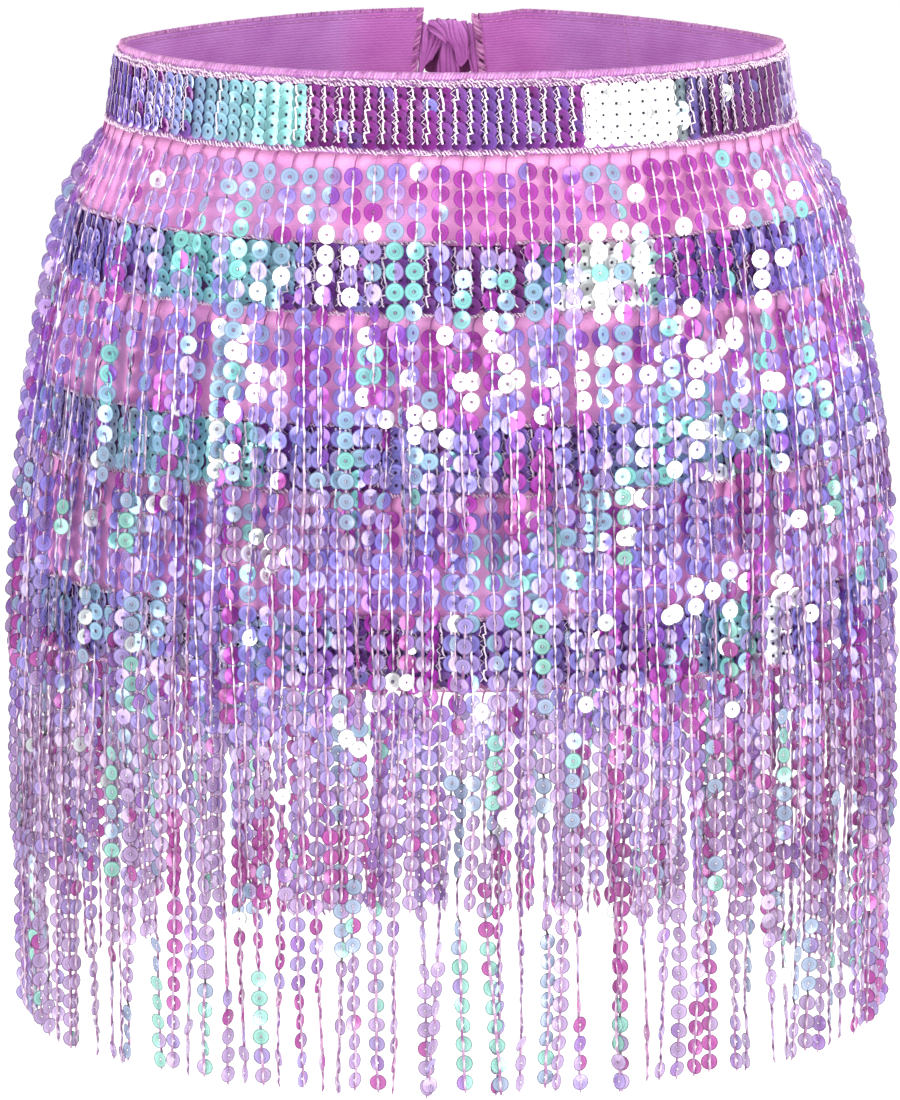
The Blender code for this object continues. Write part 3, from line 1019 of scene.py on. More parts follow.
def add_strand_threads(rng, name, root, share, places, facing, down, free, thread):
    """The thread of each strand: a curved bare stretch from the chain, then a run over the sequins."""
    count, steps = places.shape[:2]
    gap = (places[:, 0, 2] / MM - root)[:, None]
    beside, dropped, root_light = np.array(ROOT_PATH).T
    swing = beside * MM * rng.uniform(0.5, 1.15, (count, 1))
    starts, _ = cloth_frame(share[:, None] + swing / cloth_width(root), root + gap * dropped, 0.9 * MM)
    starts = starts + (places[:, :1] - starts[:, -1:]) * (dropped**3)[:, None] * 0.5
    along, front, worn_radius, free_radius, worn_light, free_light = np.array(THREAD_RUN).T
    run = places[:, :, None] + facing[:, :, None] * front[:, None] * MM
    run = run + down[:, :, None] * along[:, None] * MM
    run = run + rng.normal(0, 0.09 * MM, run.shape)
    tip = places[:, -1:] + down[:, -1:] * (SEQUIN_RADIUS + 0.5 * MM)
    paths = np.concatenate((starts, run.reshape(count, 3 * steps, 3), tip), axis=1)
    first = len(ROOT_PATH)
    hung = free[..., None]
    thick = (worn_radius * (1 - hung) + free_radius * hung).reshape(count, -1)
    roots, tips = np.full((count, first), ROOT_RADIUS), np.full((count, 1), TIP_RADIUS)
    radius = np.concatenate((roots, thick, tips), axis=1) * MM
    radius = radius * rng.uniform(0.88, 1.12, (count, 1))
    steady = np.repeat(facing, 3, axis=1)
    steady = np.concatenate((np.repeat(steady[:, :1], first, axis=1), steady, steady[:, -1:]), axis=1)
    light = worn_light * (1 - hung) + free_light * hung
    light = (light + rng.normal(0, 0.12, light.shape)).reshape(count, -1)
    colours = shaded(STRAND_TONES, light)
    at_root = shaded(EDGE_TONES, root_light + rng.normal(0, 0.1, (count, first)))
    colours = np.concatenate((at_root, colours, colours[:, -1:]), axis=1)
    return add_thread(f"fringe_threads_{name}", *tubes(paths, steady, radius, 3), colours, thread)


# ---------------------------------------- sequin bands

BAND_ROWS = 5
# Where the middles of the first and last rows are, down from the top and up from the lower edge, in mm.
FIRST_ROW, LAST_ROW = 2.6, 1.6
# How far the sequins and their net are from the cloth, and the line and zigzag of thread over them.
BAND_OUT, NET_OUT, LINE_OUT, ZIGZAG_OUT = 0.75 * MM, 0.3 * MM, 1.4 * MM, 1.3 * MM
# How large a band's sequins show, against those of the fringe, and how light violet and pale ones are.
BAND_SIZE, BAND_DEPTH, BAND_PALE = 0.92, 0.66, 0.82
# The net's dark colour is painted shade, which shows between the sequins.
NET_PAINTED_SHADE = linear(84, 32, 94)
# How each band looks. Columns: how loosely it is sewn, from 0 to 1, how pale the painted highlight on the
# right rims of its deep sequins gets at the most, and how much painted light its far left and its far right
# get, which darkens them where it is below 0.
BAND_LOOKS = {
    "1": (0.1, 0.3, 0.25, -0.35),
    "2": (0.6, 0.55, 0.35, 0.10),
    "3": (0.6, 0.55, 1.00, 0.25),
    "4": (0.6, 0.55, 0.95, 0.40),
}
# The share of sequins that are strays, how much more it is where they are loose, from how far aside
# strays take their colour, and the share of deep ones that show another deep colour.
STRAY_SHARE, LOOSE_STRAYS, STRAY_REACH, ODD_SHARE = 0.05, 0.35, 12 * MM, 0.16
# How uneven their lightness is, from one to the next and from column to column.
ROW_UNEVEN, COLUMN_UNEVEN = 0.10, 0.06
# The gleam up to which a colour is deep, and the one past which it's white.
DEEP_GLEAM, WHITE_GLEAM = 0.2, 0.8
# Which way a band's sequins turn. Columns: how far to the right their place faces, and the turn.
BAND_YAW = (
    (-1, -9),
    (-0.46, -9),
    (-0.41, 4),
    (-0.12, 2),
    (0.05, -9),
    (0.42, -9),
    (0.50, 11),
    (0.68, 11),
    (0.76, -9),
    (1, -9),
)
# Where the runs of colour begin, and how far across they change.
RUNS_BEGIN, RUNS_REACH = -170.0, 125.0

# The thread down each column of a band's sequins. Columns: how far down a sequin, from 0 to 1, and
# how far left of the column's middle in mm.
LINE_RUN = (
    (0, 1.3),
    (0.35, 1.1),
    (0.66, 1.0),
    (0.9, 0.5),
)
# The thin thread that runs to and fro between the line and the column on its left, in the same mm.
ZIGZAG_SIDES = (2.4, 1.2)


def film_of(name):
    return FILM_ON_CLOTH[FILM_NAMES.index(name)]


def run_colours(name, points):
    """The film's colour and gleam in a sequin band at these places."""
    across = turned_across(points)
    colours = np.zeros((*across.shape, 4))
    begin = RUNS_BEGIN
    for end, first, last in BAND_RUNS[name]:
        inside = (across >= begin) & (across < end)
        left, right = max(begin, -RUNS_REACH), min(end, RUNS_REACH)
        share = np.clip((across - left) / (right - left), 0, 1)
        colours = np.where(inside[..., None], blend(film_of(first), film_of(last), share), colours)
        begin = end
    return colours


def band_colours(rng, name, places, faces_right):
    """The colours of a band's sequins, then the lighter ones of their right sides, with a painted highlight:
    its runs of colour, with strays, and painted light at its far sides."""
    shape = places.shape[:2]
    loose, rim_highlight_most, *side_painted_light = BAND_LOOKS[name]
    stray = rng.uniform(size=shape) < STRAY_SHARE + LOOSE_STRAYS * loose
    aside = stray * rng.normal(0, STRAY_REACH, shape)
    colours = run_colours(name, places + aside[..., None] * np.array((1.0, 0.0, 0.0)))
    deep = colours[..., 3] < DEEP_GLEAM
    odd = (rng.uniform(size=shape) < ODD_SHARE) & deep
    colours = np.where(odd[..., None], FILM_ON_CLOTH[rng.integers(0, 4, shape)], colours)
    shade = 1 + ROW_UNEVEN * rng.standard_normal(shape)
    shade = shade + COLUMN_UNEVEN * rng.standard_normal((shape[0], 1))
    darkest = colours[..., 1] < film_of("violet")[1] * 1.6
    pale = ~deep & (colours[..., 3] < WHITE_GLEAM)
    shade = shade * np.where(darkest, BAND_DEPTH, np.where(pale, BAND_PALE, 1.0))
    # Painted light at the far sides, lightening them against their shade; below 0 it is painted shade.
    painted_side_light = np.where(faces_right < 0, *side_painted_light) * ease((np.abs(faces_right) - 0.2) / 0.4)
    colours[..., :3] *= (shade * (1 + painted_side_light))[..., None]
    # Deep sequins get a painted highlight on their right rims, towards periwinkle.
    rim = np.where(deep, rng.uniform(0.0, rim_highlight_most, shape), 0.0)[..., None]
    painted_highlight = colours * (1 - 0.8 * rim) + film_of("periwinkle") * rim
    return np.clip(colours, 0, 1), np.clip(painted_highlight, 0, 1)


def add_band(tier, sequin, thread, ground):
    """A sequin band: columns of sequins that overlap down each column, on a net coloured dark as painted
    shade.
    """
    name, top, bottom, columns = tier[:4]
    rng = np.random.default_rng(200 + int(name))
    share = (np.arange(columns) + 0.5) / columns
    row_heights = np.linspace(top - FIRST_ROW, bottom + LAST_ROW, BAND_ROWS)
    heights = np.broadcast_to(row_heights, (columns, BAND_ROWS))
    _, middle = cloth_frame(share, (top + bottom) / 2, 0.0)
    # The sequins are less loose towards the sides.
    stir = (BAND_LOOKS[name][0] * (1 - 0.7 * ease((np.abs(middle[:, 0]) - 0.6) / 0.3)))[:, None]
    heights = heights + rng.normal(0, 0.3, heights.shape) * stir
    shift = rng.normal(0, 0.4 * MM, heights.shape) * stir / cloth_width(heights)
    out = BAND_OUT + rng.normal(0, 0.06 * MM, heights.shape)
    places, outward = cloth_frame(share[:, None] + shift, heights, out)
    faces_right = -np.sign(outward[..., 1]) * outward[..., 0]
    turn = np.interp(faces_right, *np.array(BAND_YAW).T)
    yaw = np.radians(turn + rng.normal(0, 1, heights.shape) * (3 + 7 * stir))[..., None]
    pitch = (math.radians(3) + rng.normal(0, 1, heights.shape) * np.radians(2 + 6 * stir))[..., None]
    facing = outward + np.cross(UP, outward) * np.sin(yaw) + UP * np.sin(pitch)
    films = band_colours(rng, name, places, faces_right)
    gleam = films[0][..., 3]
    lit = (gleam > WHITE_GLEAM) | ((gleam > 0.5) & (rng.uniform(size=heights.shape) < 0.3))
    facing = np.where(lit[..., None], face_light(rng, places), facing)
    down = np.broadcast_to(-UP, places.shape)
    clear = BAND_CLEAR * (1 - gleam)
    piece = add_discs(
        f"band_sequins_{name}", places, facing, down, films, clear, BAND_SIZE, BAND_RIM, sequin, True
    )
    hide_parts(f"sequin_band_{name}")
    net = add_band_ground(name, top, bottom, ground)
    return net, piece, add_band_threads(rng, name, top, bottom, columns, thread)


def add_band_ground(name, top, bottom, ground):
    """The net that a band's sequins are sewn to, coloured dark as painted shade between them."""
    share = np.linspace(0, 1, 241)
    points, _ = cloth_frame(share, np.array(((top,), ((top + bottom) / 2,), (bottom,))), NET_OUT)
    faces = grid_faces(3, len(share))
    return add_cloth(
        f"band_ground_{name}", points, faces, share * 0.8, points[..., 2], ground
    )


def add_band_threads(rng, name, top, bottom, columns, thread):
    """The thread that holds a band's sequins: a line over each column's holes that steps to the right
    between sequins, and a thin zigzag on its left."""
    loose = BAND_LOOKS[name][0]
    share = ((np.arange(columns) + 0.5) / columns)[:, None]
    down, beside = np.array(LINE_RUN).T
    places = (np.arange(BAND_ROWS)[:, None] + down).ravel() / BAND_ROWS
    line_heights = top - 0.3 + (bottom + 0.9 - top) * np.broadcast_to(places, (columns, len(places)))
    stitch = np.repeat(rng.normal(0, 0.25 + 0.4 * loose, (columns, BAND_ROWS)), len(down), axis=1)
    side = np.tile(beside, BAND_ROWS) * rng.uniform(0.75, 1.2, (columns, 1)) + stitch
    side = (side + rng.normal(0, 0.10 + 0.15 * loose, line_heights.shape)) * MM
    line, outward = cloth_frame(share + side / cloth_width(line_heights), line_heights, LINE_OUT)
    zig_steps = 3 * BAND_ROWS + 1
    zig_heights = np.broadcast_to(np.linspace(top - 0.6, bottom + 0.9, zig_steps), (columns, zig_steps))
    side = np.where(np.arange(zig_steps) % 2, *ZIGZAG_SIDES)
    side = (side + rng.normal(0, 0.2 + 0.6 * loose, zig_heights.shape)) * MM
    zigzag, zig_out = cloth_frame(share + side / cloth_width(zig_heights), zig_heights, ZIGZAG_OUT)
    gleaming = run_colours(name, line[:, 0])[..., 3] > DEEP_GLEAM
    sideways = ease((np.abs(outward[:, 0, 0]) - 0.45) / 0.35)
    keep = rng.uniform(size=columns) < np.where(gleaming, 0.1, 1.0 if name == "1" else 0.8)
    ahead = ~gleaming & (sideways < (1.0 if name == "1" else 0.4))
    thin = sideways[keep, None]
    thick = rng.uniform(0.31, 0.44, (len(thin), line.shape[1])) * (1 - 0.5 * thin) * MM
    line_points, line_faces = tubes(line[keep], outward[keep], thick, 3)
    zig_points, zig_faces = tubes(zigzag[ahead], zig_out[ahead], 0.18 * MM, 3)
    points = np.concatenate((line_points, zig_points))
    faces = np.concatenate((line_faces, zig_faces + len(line_points)))
    line_light = np.repeat(0.95 - 0.35 * thin.ravel(), len(line_points) // len(thin))
    light = np.concatenate((
        line_light + rng.normal(0, 0.12, len(line_points)),
        rng.normal(0.66, 0.28, len(zig_points)),
    ))
    return add_thread(f"band_threads_{name}", points, faces, shaded(STRAND_TONES, light, 0.1), thread)


def add_tier(tier, sequin, thread, ground):
    """A tier: the band's net, with the sequins sewn to it and the fringe that hangs from it."""
    net, *on_band = add_band(tier, sequin, thread, ground)
    fringe = add_fringe(tier, sequin, thread)


# ---------------------------------------- stitches

# Rows of chain stitches round the cloth. Columns: height, how far out, half height of a stitch.
CHAINS = (
    (-2.9, 0.9, 0.45),
    (-4.0, 0.9, 0.70),
    (-26.4, 1.0, 0.75),
    (-55.9, 1.0, 0.55),
    (-79.6, 1.1, 0.6),
    (-116.5, 1.0, 0.55),
    (-139.7, 1.1, 0.6),
    (-181.5, 1.0, 0.55),
    (-205.2, 1.0, 0.55),
)
STITCH = 2.5 * MM
# How thin and how thick the thread of each kind of stitch is, in mm.
CHAIN_THICK, OVERLOCK_THICK, INNER_THICK = (0.16, 0.40), (0.28, 0.46), 0.17

# One loop of the overlock over the waistband's top edge, from outside over the top to inside.
# Columns: how far back along the edge, height, how far out, and how light it is painted, darker as
# painted shade where it turns over the top and inside.
OVERLOCK_LOOP = (
    (1.2, -2.2, 0.02, 0.80),
    (0.8, -1.3, 0.06, 0.76),
    (0.4, -0.45, -0.08, 0.50),
    (0, -0.14, -0.75, 0.22),
    (-0.3, -0.45, -1.50, 0.30),
    (-0.5, -1.1, -1.76, 0.62),
)
OVERLOCK_PITCH = 1.15 * MM

# Rows of short stitches on the waistband's inner side: round it under the bound edge, and down a
# seam on the right of the back. Both give the length of a stitch and of the gap after it, in mm.
HEM_STITCH, HEM_HEIGHT = (1.5, 0.9), -2.9
SEAM_STITCH, SEAM_SHARE, SEAM_LENGTH = (0.8, 0.9), 0.088, 24.0
INNER_FACE = -1.72 * MM

# The overlocked edges. Columns: name, end of the cloth's run, how far beside it and how far out, the
# twist's radius across and outwards, plies of thread, ply radius, and length of one twist, in mm.
EDGES = (
    ("left", 1, -0.5, -1.2, 1.1, 0.7, 4, 0.30, 5.0),
    ("right", 0, 1.7, -0.6, 1.35, 1.25, 5, 0.74, 8.5),
)
EDGE_TOP, EDGE_BOTTOM = -0.3, -206.4
# Where a ply's place and thickness are drawn down an edge. They change evenly between these.
EDGE_KNOTS = np.linspace(-207, 0, 70)


def wander(rng, share, knots, spread):
    """A number that wanders about 0 along a run, drawn at knots and even between them."""
    return np.interp(share * knots, np.arange(knots + 1), rng.normal(0, spread, knots + 1))


def add_chains(thread):
    """Chain stitches: two strands of thread twisted round each other along each row, painted lighter where
    they face out and darker, as shade, where they turn in.
    """
    for number, (height, out, high) in enumerate(CHAINS):
        rng = np.random.default_rng(300 + number)
        width = float(cloth_width(height))
        steps = int(width / (STITCH / 4))
        share = np.linspace(0.002, 0.998, steps)
        slip = wander(rng, share, 200, 1.8)
        angle = share * width / STITCH * 2 * math.pi + slip + np.array(((0.0,), (math.pi,)))
        rise = high * np.sin(angle) + wander(rng, share, 140, 0.32) + rng.normal(0, 0.24, (2, steps))
        paths, outward = cloth_frame(share, height + rise, (out + 0.5 * np.cos(angle)) * MM)
        thick = rng.uniform(*CHAIN_THICK, (2, steps)) * MM
        # Painted light and shade: lighter where the strand faces out, darker where it turns in, with random
        # tone.
        light = 0.62 + 0.5 * np.cos(angle) + rng.normal(0, 0.34, (2, steps))
        tube = tubes(paths, outward * 0.9 + UP * 0.2, thick, 3)
        add_thread(f"chain_stitches_{number + 1}", *tube, shaded(CHAIN_TONES, light), thread)


def add_overlock(thread):
    """The slanted loops of thread that bind the waistband's top edge."""
    rng = np.random.default_rng(350)
    width = float(cloth_width(0.0))
    count = int(width / OVERLOCK_PITCH)
    share = ((np.arange(count) + 0.5) / count)[:, None]
    along, height, out, light = np.array(OVERLOCK_LOOP).T
    along = along * MM + rng.normal(0, 0.12 * MM, (count, len(OVERLOCK_LOOP)))
    paths, outward = cloth_frame(np.clip(share + along / width, 0.001, 0.999), height, out * MM)
    steady = outward * (out + 0.7)[:, None] + UP * 0.8
    tube = tubes(paths, steady, rng.uniform(*OVERLOCK_THICK, (count, 1)) * MM, 4)
    light = light + rng.normal(0, 0.16, (count, 1)) + rng.normal(0, 0.12, paths.shape[:2])
    add_thread("waist_overlock", *tube, shaded(EDGE_TONES, light), thread)


def add_inner_stitches(thread):
    """The short stitches of the hem and the seam inside the waistband."""
    rng = np.random.default_rng(360)
    width = float(cloth_width(HEM_HEIGHT))
    count = int(width / (sum(HEM_STITCH) * MM))
    within = np.array((0.0, 0.5, 1.0))
    share = (np.arange(count)[:, None] + 0.2) / count + within * HEM_STITCH[0] * MM / width
    height = HEM_HEIGHT + rng.normal(0, 0.14, (count, 1)) + rng.normal(0, 0.08, share.shape)
    hem, hem_out = cloth_frame(share, height, INNER_FACE)
    steps = int(SEAM_LENGTH / sum(SEAM_STITCH))
    height = -1.6 - np.arange(steps)[:, None] * sum(SEAM_STITCH) - within * SEAM_STITCH[0]
    share = SEAM_SHARE + rng.normal(0, 0.0002, height.shape)
    seam, seam_out = cloth_frame(share, height, INNER_FACE)
    paths = np.concatenate((hem, seam))
    tube = tubes(paths, -np.concatenate((hem_out, seam_out)), INNER_THICK * MM, 4)
    light = rng.normal(0.8, 0.15, paths.shape[:2])
    add_thread("waist_inner_stitches", *tube, shaded(EDGE_TONES, light), thread)


def add_edge(name, end, beside, out, across_radius, out_radius, plies, ply_radius, twist, thread):
    """An overlocked edge: plies of thread twisted down the cut edge of the cloth."""
    heights = np.linspace(EDGE_TOP, EDGE_BOTTOM, 300)
    rng = np.random.default_rng(400 + end)
    knots = len(EDGE_KNOTS)
    wobble = [np.interp(heights, EDGE_KNOTS, rng.normal(0, 0.8, knots)) for _ in range(plies)]
    first = np.arange(plies)[:, None] * 2 * math.pi / plies
    angle = heights / twist * 2 * math.pi + first + wobble
    side = (2 * end - 1) * (beside + across_radius * np.cos(angle)) * MM
    share = end + side / cloth_width(heights)
    paths, outward = cloth_frame(share, heights, (out_radius * np.sin(angle) + out) * MM)
    thick = [np.interp(heights, EDGE_KNOTS, rng.uniform(0.7, 1.25, knots)) for _ in range(plies)]
    tube = tubes(paths, outward, ply_radius * MM * np.array(thick), 6)
    light = rng.normal(0.55, 0.2, (plies, 1)) + rng.normal(0, 0.18, (plies, len(heights)))
    piece = add_thread(f"edge_stitches_{name}", *tube, shaded(EDGE_TONES, light), thread)
    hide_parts(f"back_edge_{name}")


# ---------------------------------------- cloth

# The waistband's section, round from the bottom of its outer face. Columns: height, out of the cloth.
WAIST_SECTION = (
    (-27.2, 0),
    (-24.5, 0),
    (-14, 0),
    (-5, 0),
    (-2.4, 0),
    (-1, 0.05),
    (-0.3, -0.1),
    (0, -0.5),
    (0, -1.0),
    (-0.3, -1.4),
    (-1, -1.65),
    (-2.6, -1.72),
    (-3.2, -1.50),
    (-3.8, -1.62),
    (-5.2, -1.60),
    (-14, -1.60),
    (-25, -1.60),
    (-27.2, -1.60),
)
# Beside the slit its colour is deeper: how far from the edge that begins to fade, and over how much.
DEEP_TO, DEEP_FADE = 14 * MM, 26 * MM
# The panel's wall, its ends, and its length down its cloth.
PANEL_WALL, PANEL_TOP, PANEL_BOTTOM, PANEL_LENGTH = 1.1 * MM, -27.5, -206.8, 183 * MM
# How far the cloth runs on under the edges' stitches.
UNDERLAP = 0.7 * MM

# Creases in the panel, troughs where the depth is below 0. Columns: across the front, top, bottom,
# how far it slants across, depth, half width, all in mm, and whether it is on the back.
CREASES = (
    (-66, -30, -58, 9, -0.9, 4.0, False),
    (-50, -28, -52, 13, 0.7, 3.2, False),
    (-24, -29, -60, -8, -0.8, 4.6, False),
    (3, -28, -56, 6, 0.8, 4.0, False),
    (22, -29, -57, -5, -0.7, 3.6, False),
    (70, -30, -60, -12, 0.9, 4.4, False),
    (-58, -80, -119, 6, -1.0, 5.0, False),
    (-12, -82, -118, -7, 0.8, 4.8, False),
    (16, -81, -116, 5, -0.9, 4.0, False),
    (52, -84, -120, -6, 0.7, 5.4, False),
    (96, -80, -118, 8, -1.0, 6.0, False),
    (-34, -142, -184, 7, 0.9, 5.6, False),
    (8, -144, -182, -6, -1.1, 5.0, False),
    (40, -141, -180, 9, 0.8, 4.6, False),
    (-88, -143, -184, -6, -0.9, 6.2, False),
    (-60, -30, -58, 8, 0.8, 4.2, True),
    (-24, -28, -60, -12, -1.1, 4.8, True),
    (28, -29, -62, 14, -1.0, 5.0, True),
    (66, -31, -58, -8, 0.7, 4.0, True),
    (-40, -82, -120, 6, -0.9, 5.2, True),
    (34, -80, -118, -9, 0.9, 5.0, True),
    (-70, -142, -182, -7, 0.8, 5.6, True),
    (58, -144, -184, 6, -1.0, 5.4, True),
)


def crease(points, height):
    """How far the creases raise the panel at these places, in metres."""
    raised = np.zeros(points.shape[:-1])
    for x, top, bottom, slant, depth, wide, behind in CREASES:
        down = (top - height) / (top - bottom)
        on_side = points[..., 1] > 0 if behind else points[..., 1] < 0
        tapered = np.sin(math.pi * np.clip(down, 0, 1)) ** 0.8
        aside = (points[..., 0] / MM - (x + slant * down)) / wide
        raised += on_side * depth * tapered * np.exp(-(aside**2))
    return raised * MM


def cloth_shares(steps):
    """Shares round the cloth, which run on a little under the stitches at both ends."""
    over = UNDERLAP / cloth_width(-20.0)
    return np.linspace(-over, 1 + over, steps)


def add_panel(material):
    """The skirt panel: a thin shell with soft folds and creases."""
    share = cloth_shares(281)
    heights = np.linspace(PANEL_TOP, PANEL_BOTTOM, 56)[:, None]
    points, outward = cloth_frame(share, heights, 0.0)
    points = points + outward * crease(points, heights)[..., None]
    faces = grid_faces(len(heights), len(share))
    along, down = share * cloth_width(heights), heights * MM
    piece = add_cloth(
        "skirt_cloth", points, faces, along, down, material, PANEL_WALL, -1
    )
    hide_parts("skirt_panel")


def add_waistband(material):
    """The waistband: ribbed elastic, with a turned and bound top edge."""
    share = cloth_shares(481)[:, None]
    section = np.array(WAIST_SECTION)
    points, _ = cloth_frame(share, section[:, 0], section[:, 1] * MM)
    steps, last = len(section), share.size * len(section)
    sides = grid_faces(len(share), steps, closed=True)[:, ::-1].tolist()
    ends = [list(range(steps)), list(range(last - 1, last - steps - 1, -1))]
    length = float(cloth_width(-13.0))
    around = np.concatenate(([0.0], np.cumsum(np.hypot(*np.diff(section, axis=0).T)))) * MM
    piece = add_cloth(
        "waist_cloth", points, sides + ends, share * length, around, material
    )
    beside = np.minimum(share, 1 - share) * length
    store(piece, "shade", np.repeat(ease((beside - DEEP_TO) / DEEP_FADE), steps))
    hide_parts("waistband")


# ---------------------------------------- tie

# Each piece of the tie has rows from top to bottom. Columns: left across and height, right across and
# height, how far out, and depth of the pleats.
STRAP_LEFT_ROWS = (
    (-10.6, -5.6, -2.2, -8.8, -1.5, 0.25),
    (-11.0, -8.8, -3.2, -12.6, -1.5, 0.45),
    (-11.4, -12.8, -4.9, -16.0, -1.4, 0.50),
    (-11.8, -17.6, -7.2, -19.4, -1.2, 0.40),
    (-12.0, -21.4, -9.6, -21.8, -1.0, 0.10),
    (-12.6, -26.6, -11.0, -25.4, -0.9, 0.05),
)
STRAP_RIGHT_ROWS = (
    (4.2, -6.6, 9.0, -5.4, -1.6, 0.1),
    (4.8, -12.0, 9.6, -11.0, -1.5, 0.25),
    (5.8, -18.0, 10.3, -17.4, -1.2, 0.3),
    (7.6, -25.2, 11.0, -25.4, -0.8, 0.2),
)
TAIL_ROWS = (
    (-2.6, -10.6, 0.6, -10.6, -1.2, 0.1),
    (-3.7, -13.6, 1.2, -13.6, -1.7, 0.15),
    (-4.8, -18.6, 2.2, -18.6, -1.6, 0.2),
    (-5.6, -24.5, 3.2, -24.5, -1.0, 0.3),
    (-6.6, -40.0, 3.8, -40.0, 0.0, 0.6),
    (-7.4, -65.0, 4.7, -65.0, 0.6, 0.6),
    (-8.1, -90.0, 5.7, -90.0, 0.6, 0.5),
    (-8.8, -112.0, 6.4, -108.0, 0.4, 0.4),
)
# The knot: a fan of pleats that rolls over its top and narrows to a point, which is also the short
# tail. The first rows are behind the roll.
FAN_ROWS = (
    (-4.4, -9.4, 4.4, -9.4, 1.9, 0.2),
    (-5.2, -6.4, 5.0, -6.8, 1.5, 0.3),
    (-5.4, -4.7, 5.5, -5.6, -0.4, 0.45),
    (-5.2, -5.4, 5.9, -6.6, -2.6, 0.55),
    (-4.2, -8.2, 6.5, -8.8, -3.8, 0.60),
    (-2.7, -10.9, 6.9, -11.6, -3.9, 0.60),
    (-0.2, -12.8, 6.9, -14.6, -3.6, 0.50),
    (0.9, -16.2, 6.4, -17.8, -3.0, 0.40),
    (1.8, -19.4, 5.0, -20.2, -2.4, 0.25),
    (3.0, -21.3, 3.7, -21.6, -2.0, 0.05),
)
# The wrap that the fan comes out of, from the left edge down into the knot.
WRAP_ROWS = (
    (-9.0, -8.4, -8.2, -5.2, -1.6, 0.1),
    (-7.6, -9.2, -6.6, -4.4, -4.0, 0.2),
    (-5.8, -10.4, -4.4, -5.8, -4.9, 0.25),
    (-4.0, -11.8, -2.4, -8.6, -4.8, 0.2),
    (-2.6, -12.8, -1.2, -11.4, -3.6, 0.05),
)
# The cloth of the knot, then of the straps and the long tail.
TIE_KNOT = (
    ("tie_knot", FAN_ROWS, 5, ("tie_knot", "tie_tail_short"), 14.5, 25, 300),
    ("tie_wrap", WRAP_ROWS, 1, (), 10, 10, 46),
)
TIE_ENDS = (
    ("tie_strap_left", STRAP_LEFT_ROWS, 4, ("tie_strap_left",), 10, 21.5, 160),
    ("tie_strap_right", STRAP_RIGHT_ROWS, 2, ("tie_strap_right",), 10, 20.8, 100),
    ("tie_tail_long", TAIL_ROWS, 4, ("tie_tail_long",), 14.5, 102, 1475),
)
TIE_WALL, TOP_RIPPLE = 0.8 * MM, 0.5 * MM
# How many steps are made of each row.
TIE_STEPS = 10

# The far half of the knot, outside the fan: its middle across and height, how far out it is, and its
# radii across, outwards and down.
KNOT_BACK = (-1.0, -16.6, 1.6)
KNOT_BACK_RADII = (10.2, 1.9, 12.2)


def tie_cloth(rows, pleats):
    """A gathered strip of the tie: its points and its painted shade, from 0 to 1, darker in its pleats and
    at its side edges.
    """
    fine, table = smooth_curve(np.arange(len(rows)), rows, TIE_STEPS * len(rows))
    left, left_height, right, right_height, out, deep = table.T[..., None]
    fine = fine[:, None]
    across = np.linspace(0, 1, 12 * pleats + 1)[None]
    turn = 2 * math.pi * pleats * (across + 0.05 * np.sin(7 * across + 0.9 * fine))
    turn = turn + 0.5 * np.sin(fine * 1.3)
    wave = 0.62 * np.cos(turn) + 0.34 * np.cos(2.3 * turn + 1 + 0.5 * fine)
    wave = wave + 0.16 * np.cos(5.1 * turn - 1.1 * fine)
    points, _ = ring_frame(
        (left + (right - left) * across) * MM,
        left_height + (right_height - left_height) * across,
        (out - deep * wave) * MM,
    )
    ripple = TOP_RIPPLE * np.sin(4.4 * math.pi * across + 0.9) * np.exp(-fine / 4)
    edge = np.minimum(across, 1 - across) * 2
    shade = np.clip(0.62 + 0.5 * wave, 0, 1) * ease(0.25 + edge * 6)
    return points + ripple[..., None] * UP, shade


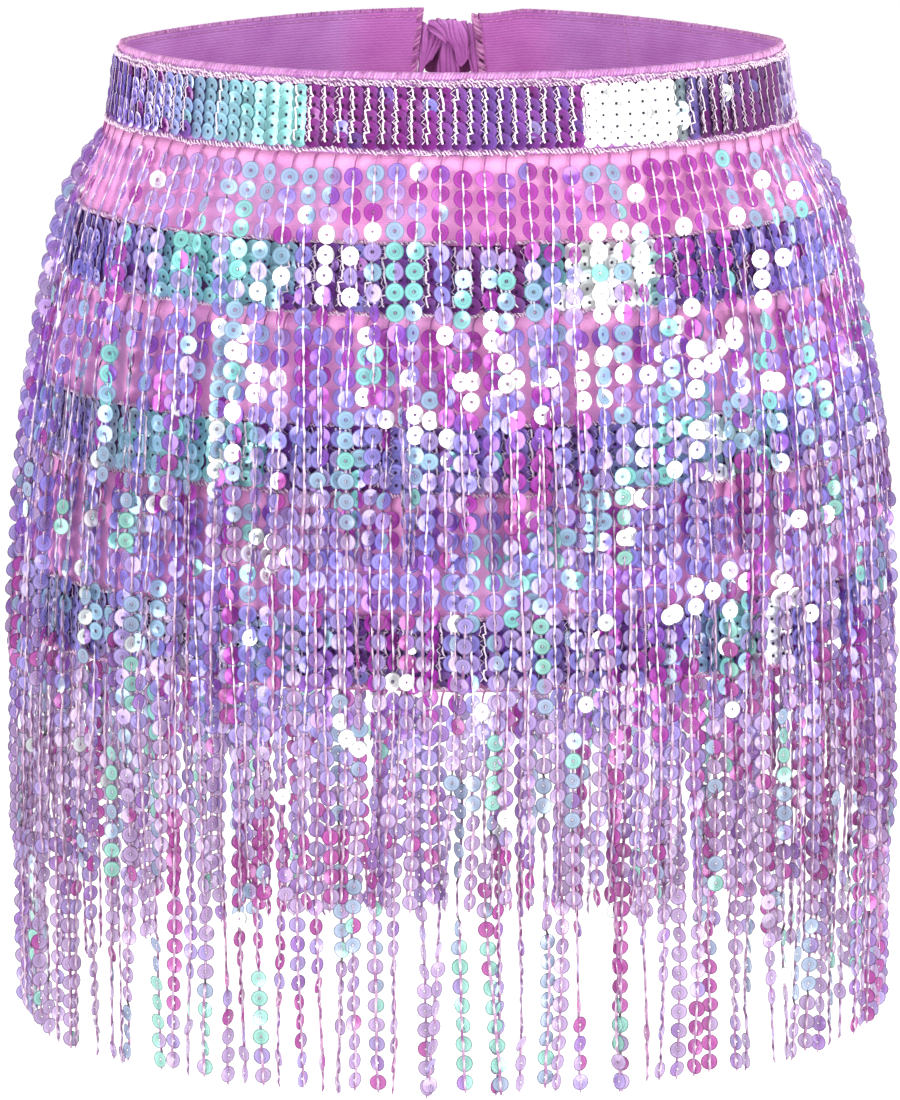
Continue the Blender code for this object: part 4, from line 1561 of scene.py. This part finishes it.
def add_knot_back(material):
    """The far half of the knot, gathered into pleats round its middle, painted darker as shade on its side
    towards the inside and in its pleats.
    """
    rings, sides = 28, 56
    polar = np.linspace(0.02, math.pi - 0.02, rings)[:, None]
    around = np.arange(sides)[None] * 2 * math.pi / sides
    direction = np.stack(
        (np.sin(polar) * np.sin(around), np.sin(polar) * np.cos(around), np.cos(polar) + 0 * around), -1
    )
    fan = direction[..., 0] * (1.25 + 0.45 * direction[..., 2])
    pleats = np.cos(fan * 15) * 0.06 + np.cos(fan * 27 + 1.0) * 0.025
    size = 0.97 + pleats * np.sin(polar) ** 0.5
    middle, _ = ring_frame(KNOT_BACK[0] * MM, KNOT_BACK[1], KNOT_BACK[2] * MM)
    points = middle + direction * size[..., None] * np.array(KNOT_BACK_RADII) * MM
    faces = grid_faces(rings, sides, closed=True).tolist()
    caps = [list(range(sides - 1, -1, -1)), list(range((rings - 1) * sides, rings * sides))]
    along, down = direction[..., 0] * 0.008, points[..., 2]
    piece = add_cloth("tie_knot_back_cloth", points, faces + caps, along, down, material)
    # Painted shade: darker on the side towards the inside of the ring, and in the pleats.
    light = np.clip(0.1 + 0.9 * ease(0.4 + direction[..., 1] * 1.2), 0, 1)
    store(piece, "shade", light * (0.66 + 5 * pleats))


def add_tie_piece(name, rows, pleats, nodes, width, length, area, material):
    points, shade = tie_cloth(rows, pleats)
    faces = grid_faces(*shade.shape)[:, ::-1]
    along, down = np.linspace(0, 0.012, shade.shape[1]), points[..., 2]
    piece = add_cloth(f"{name}_cloth", points, faces, along, down, material, TIE_WALL)
    store(piece, "shade", shade)
    if nodes:
        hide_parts(*nodes)


# ---------------------------------------- the garment

add_camera()
add_lights()
add_world()
add_floor()
bpy.context.scene.view_settings.view_transform = "Standard"

film = sequin_material()
thread = thread_material()
pink = cloth_material("pink_stretch_knit", linear(236, 164, 214), linear(222, 142, 200), 420.0, 0.4)
orchid = cloth_material(
    "orchid_ribbed_elastic", linear(204, 146, 216), linear(188, 122, 200), 300.0, 1.2, deep=PINKER
)
# The tie's deep colour is painted shade, in its pleats and folds.
tie = cloth_material(
    "orchid_tie_cloth", linear(212, 134, 212), linear(192, 106, 190), 500.0, 0.5, deep=linear(112, 34, 92)
)
ground = cloth_material("sequin_net_painted_shade", NET_PAINTED_SHADE, NET_PAINTED_SHADE * 0.6, 500.0, 0.6)

add_waistband(orchid)
add_panel(pink)
for tier in TIERS:
    add_tier(tier, film, thread, ground)
add_chains(thread)
add_overlock(thread)
add_inner_stitches(thread)
for edge in EDGES:
    add_edge(*edge, thread)
for piece in TIE_KNOT:
    add_tie_piece(*piece, tie)
add_knot_back(tie)
for piece in TIE_ENDS:
    add_tie_piece(*piece, tie)
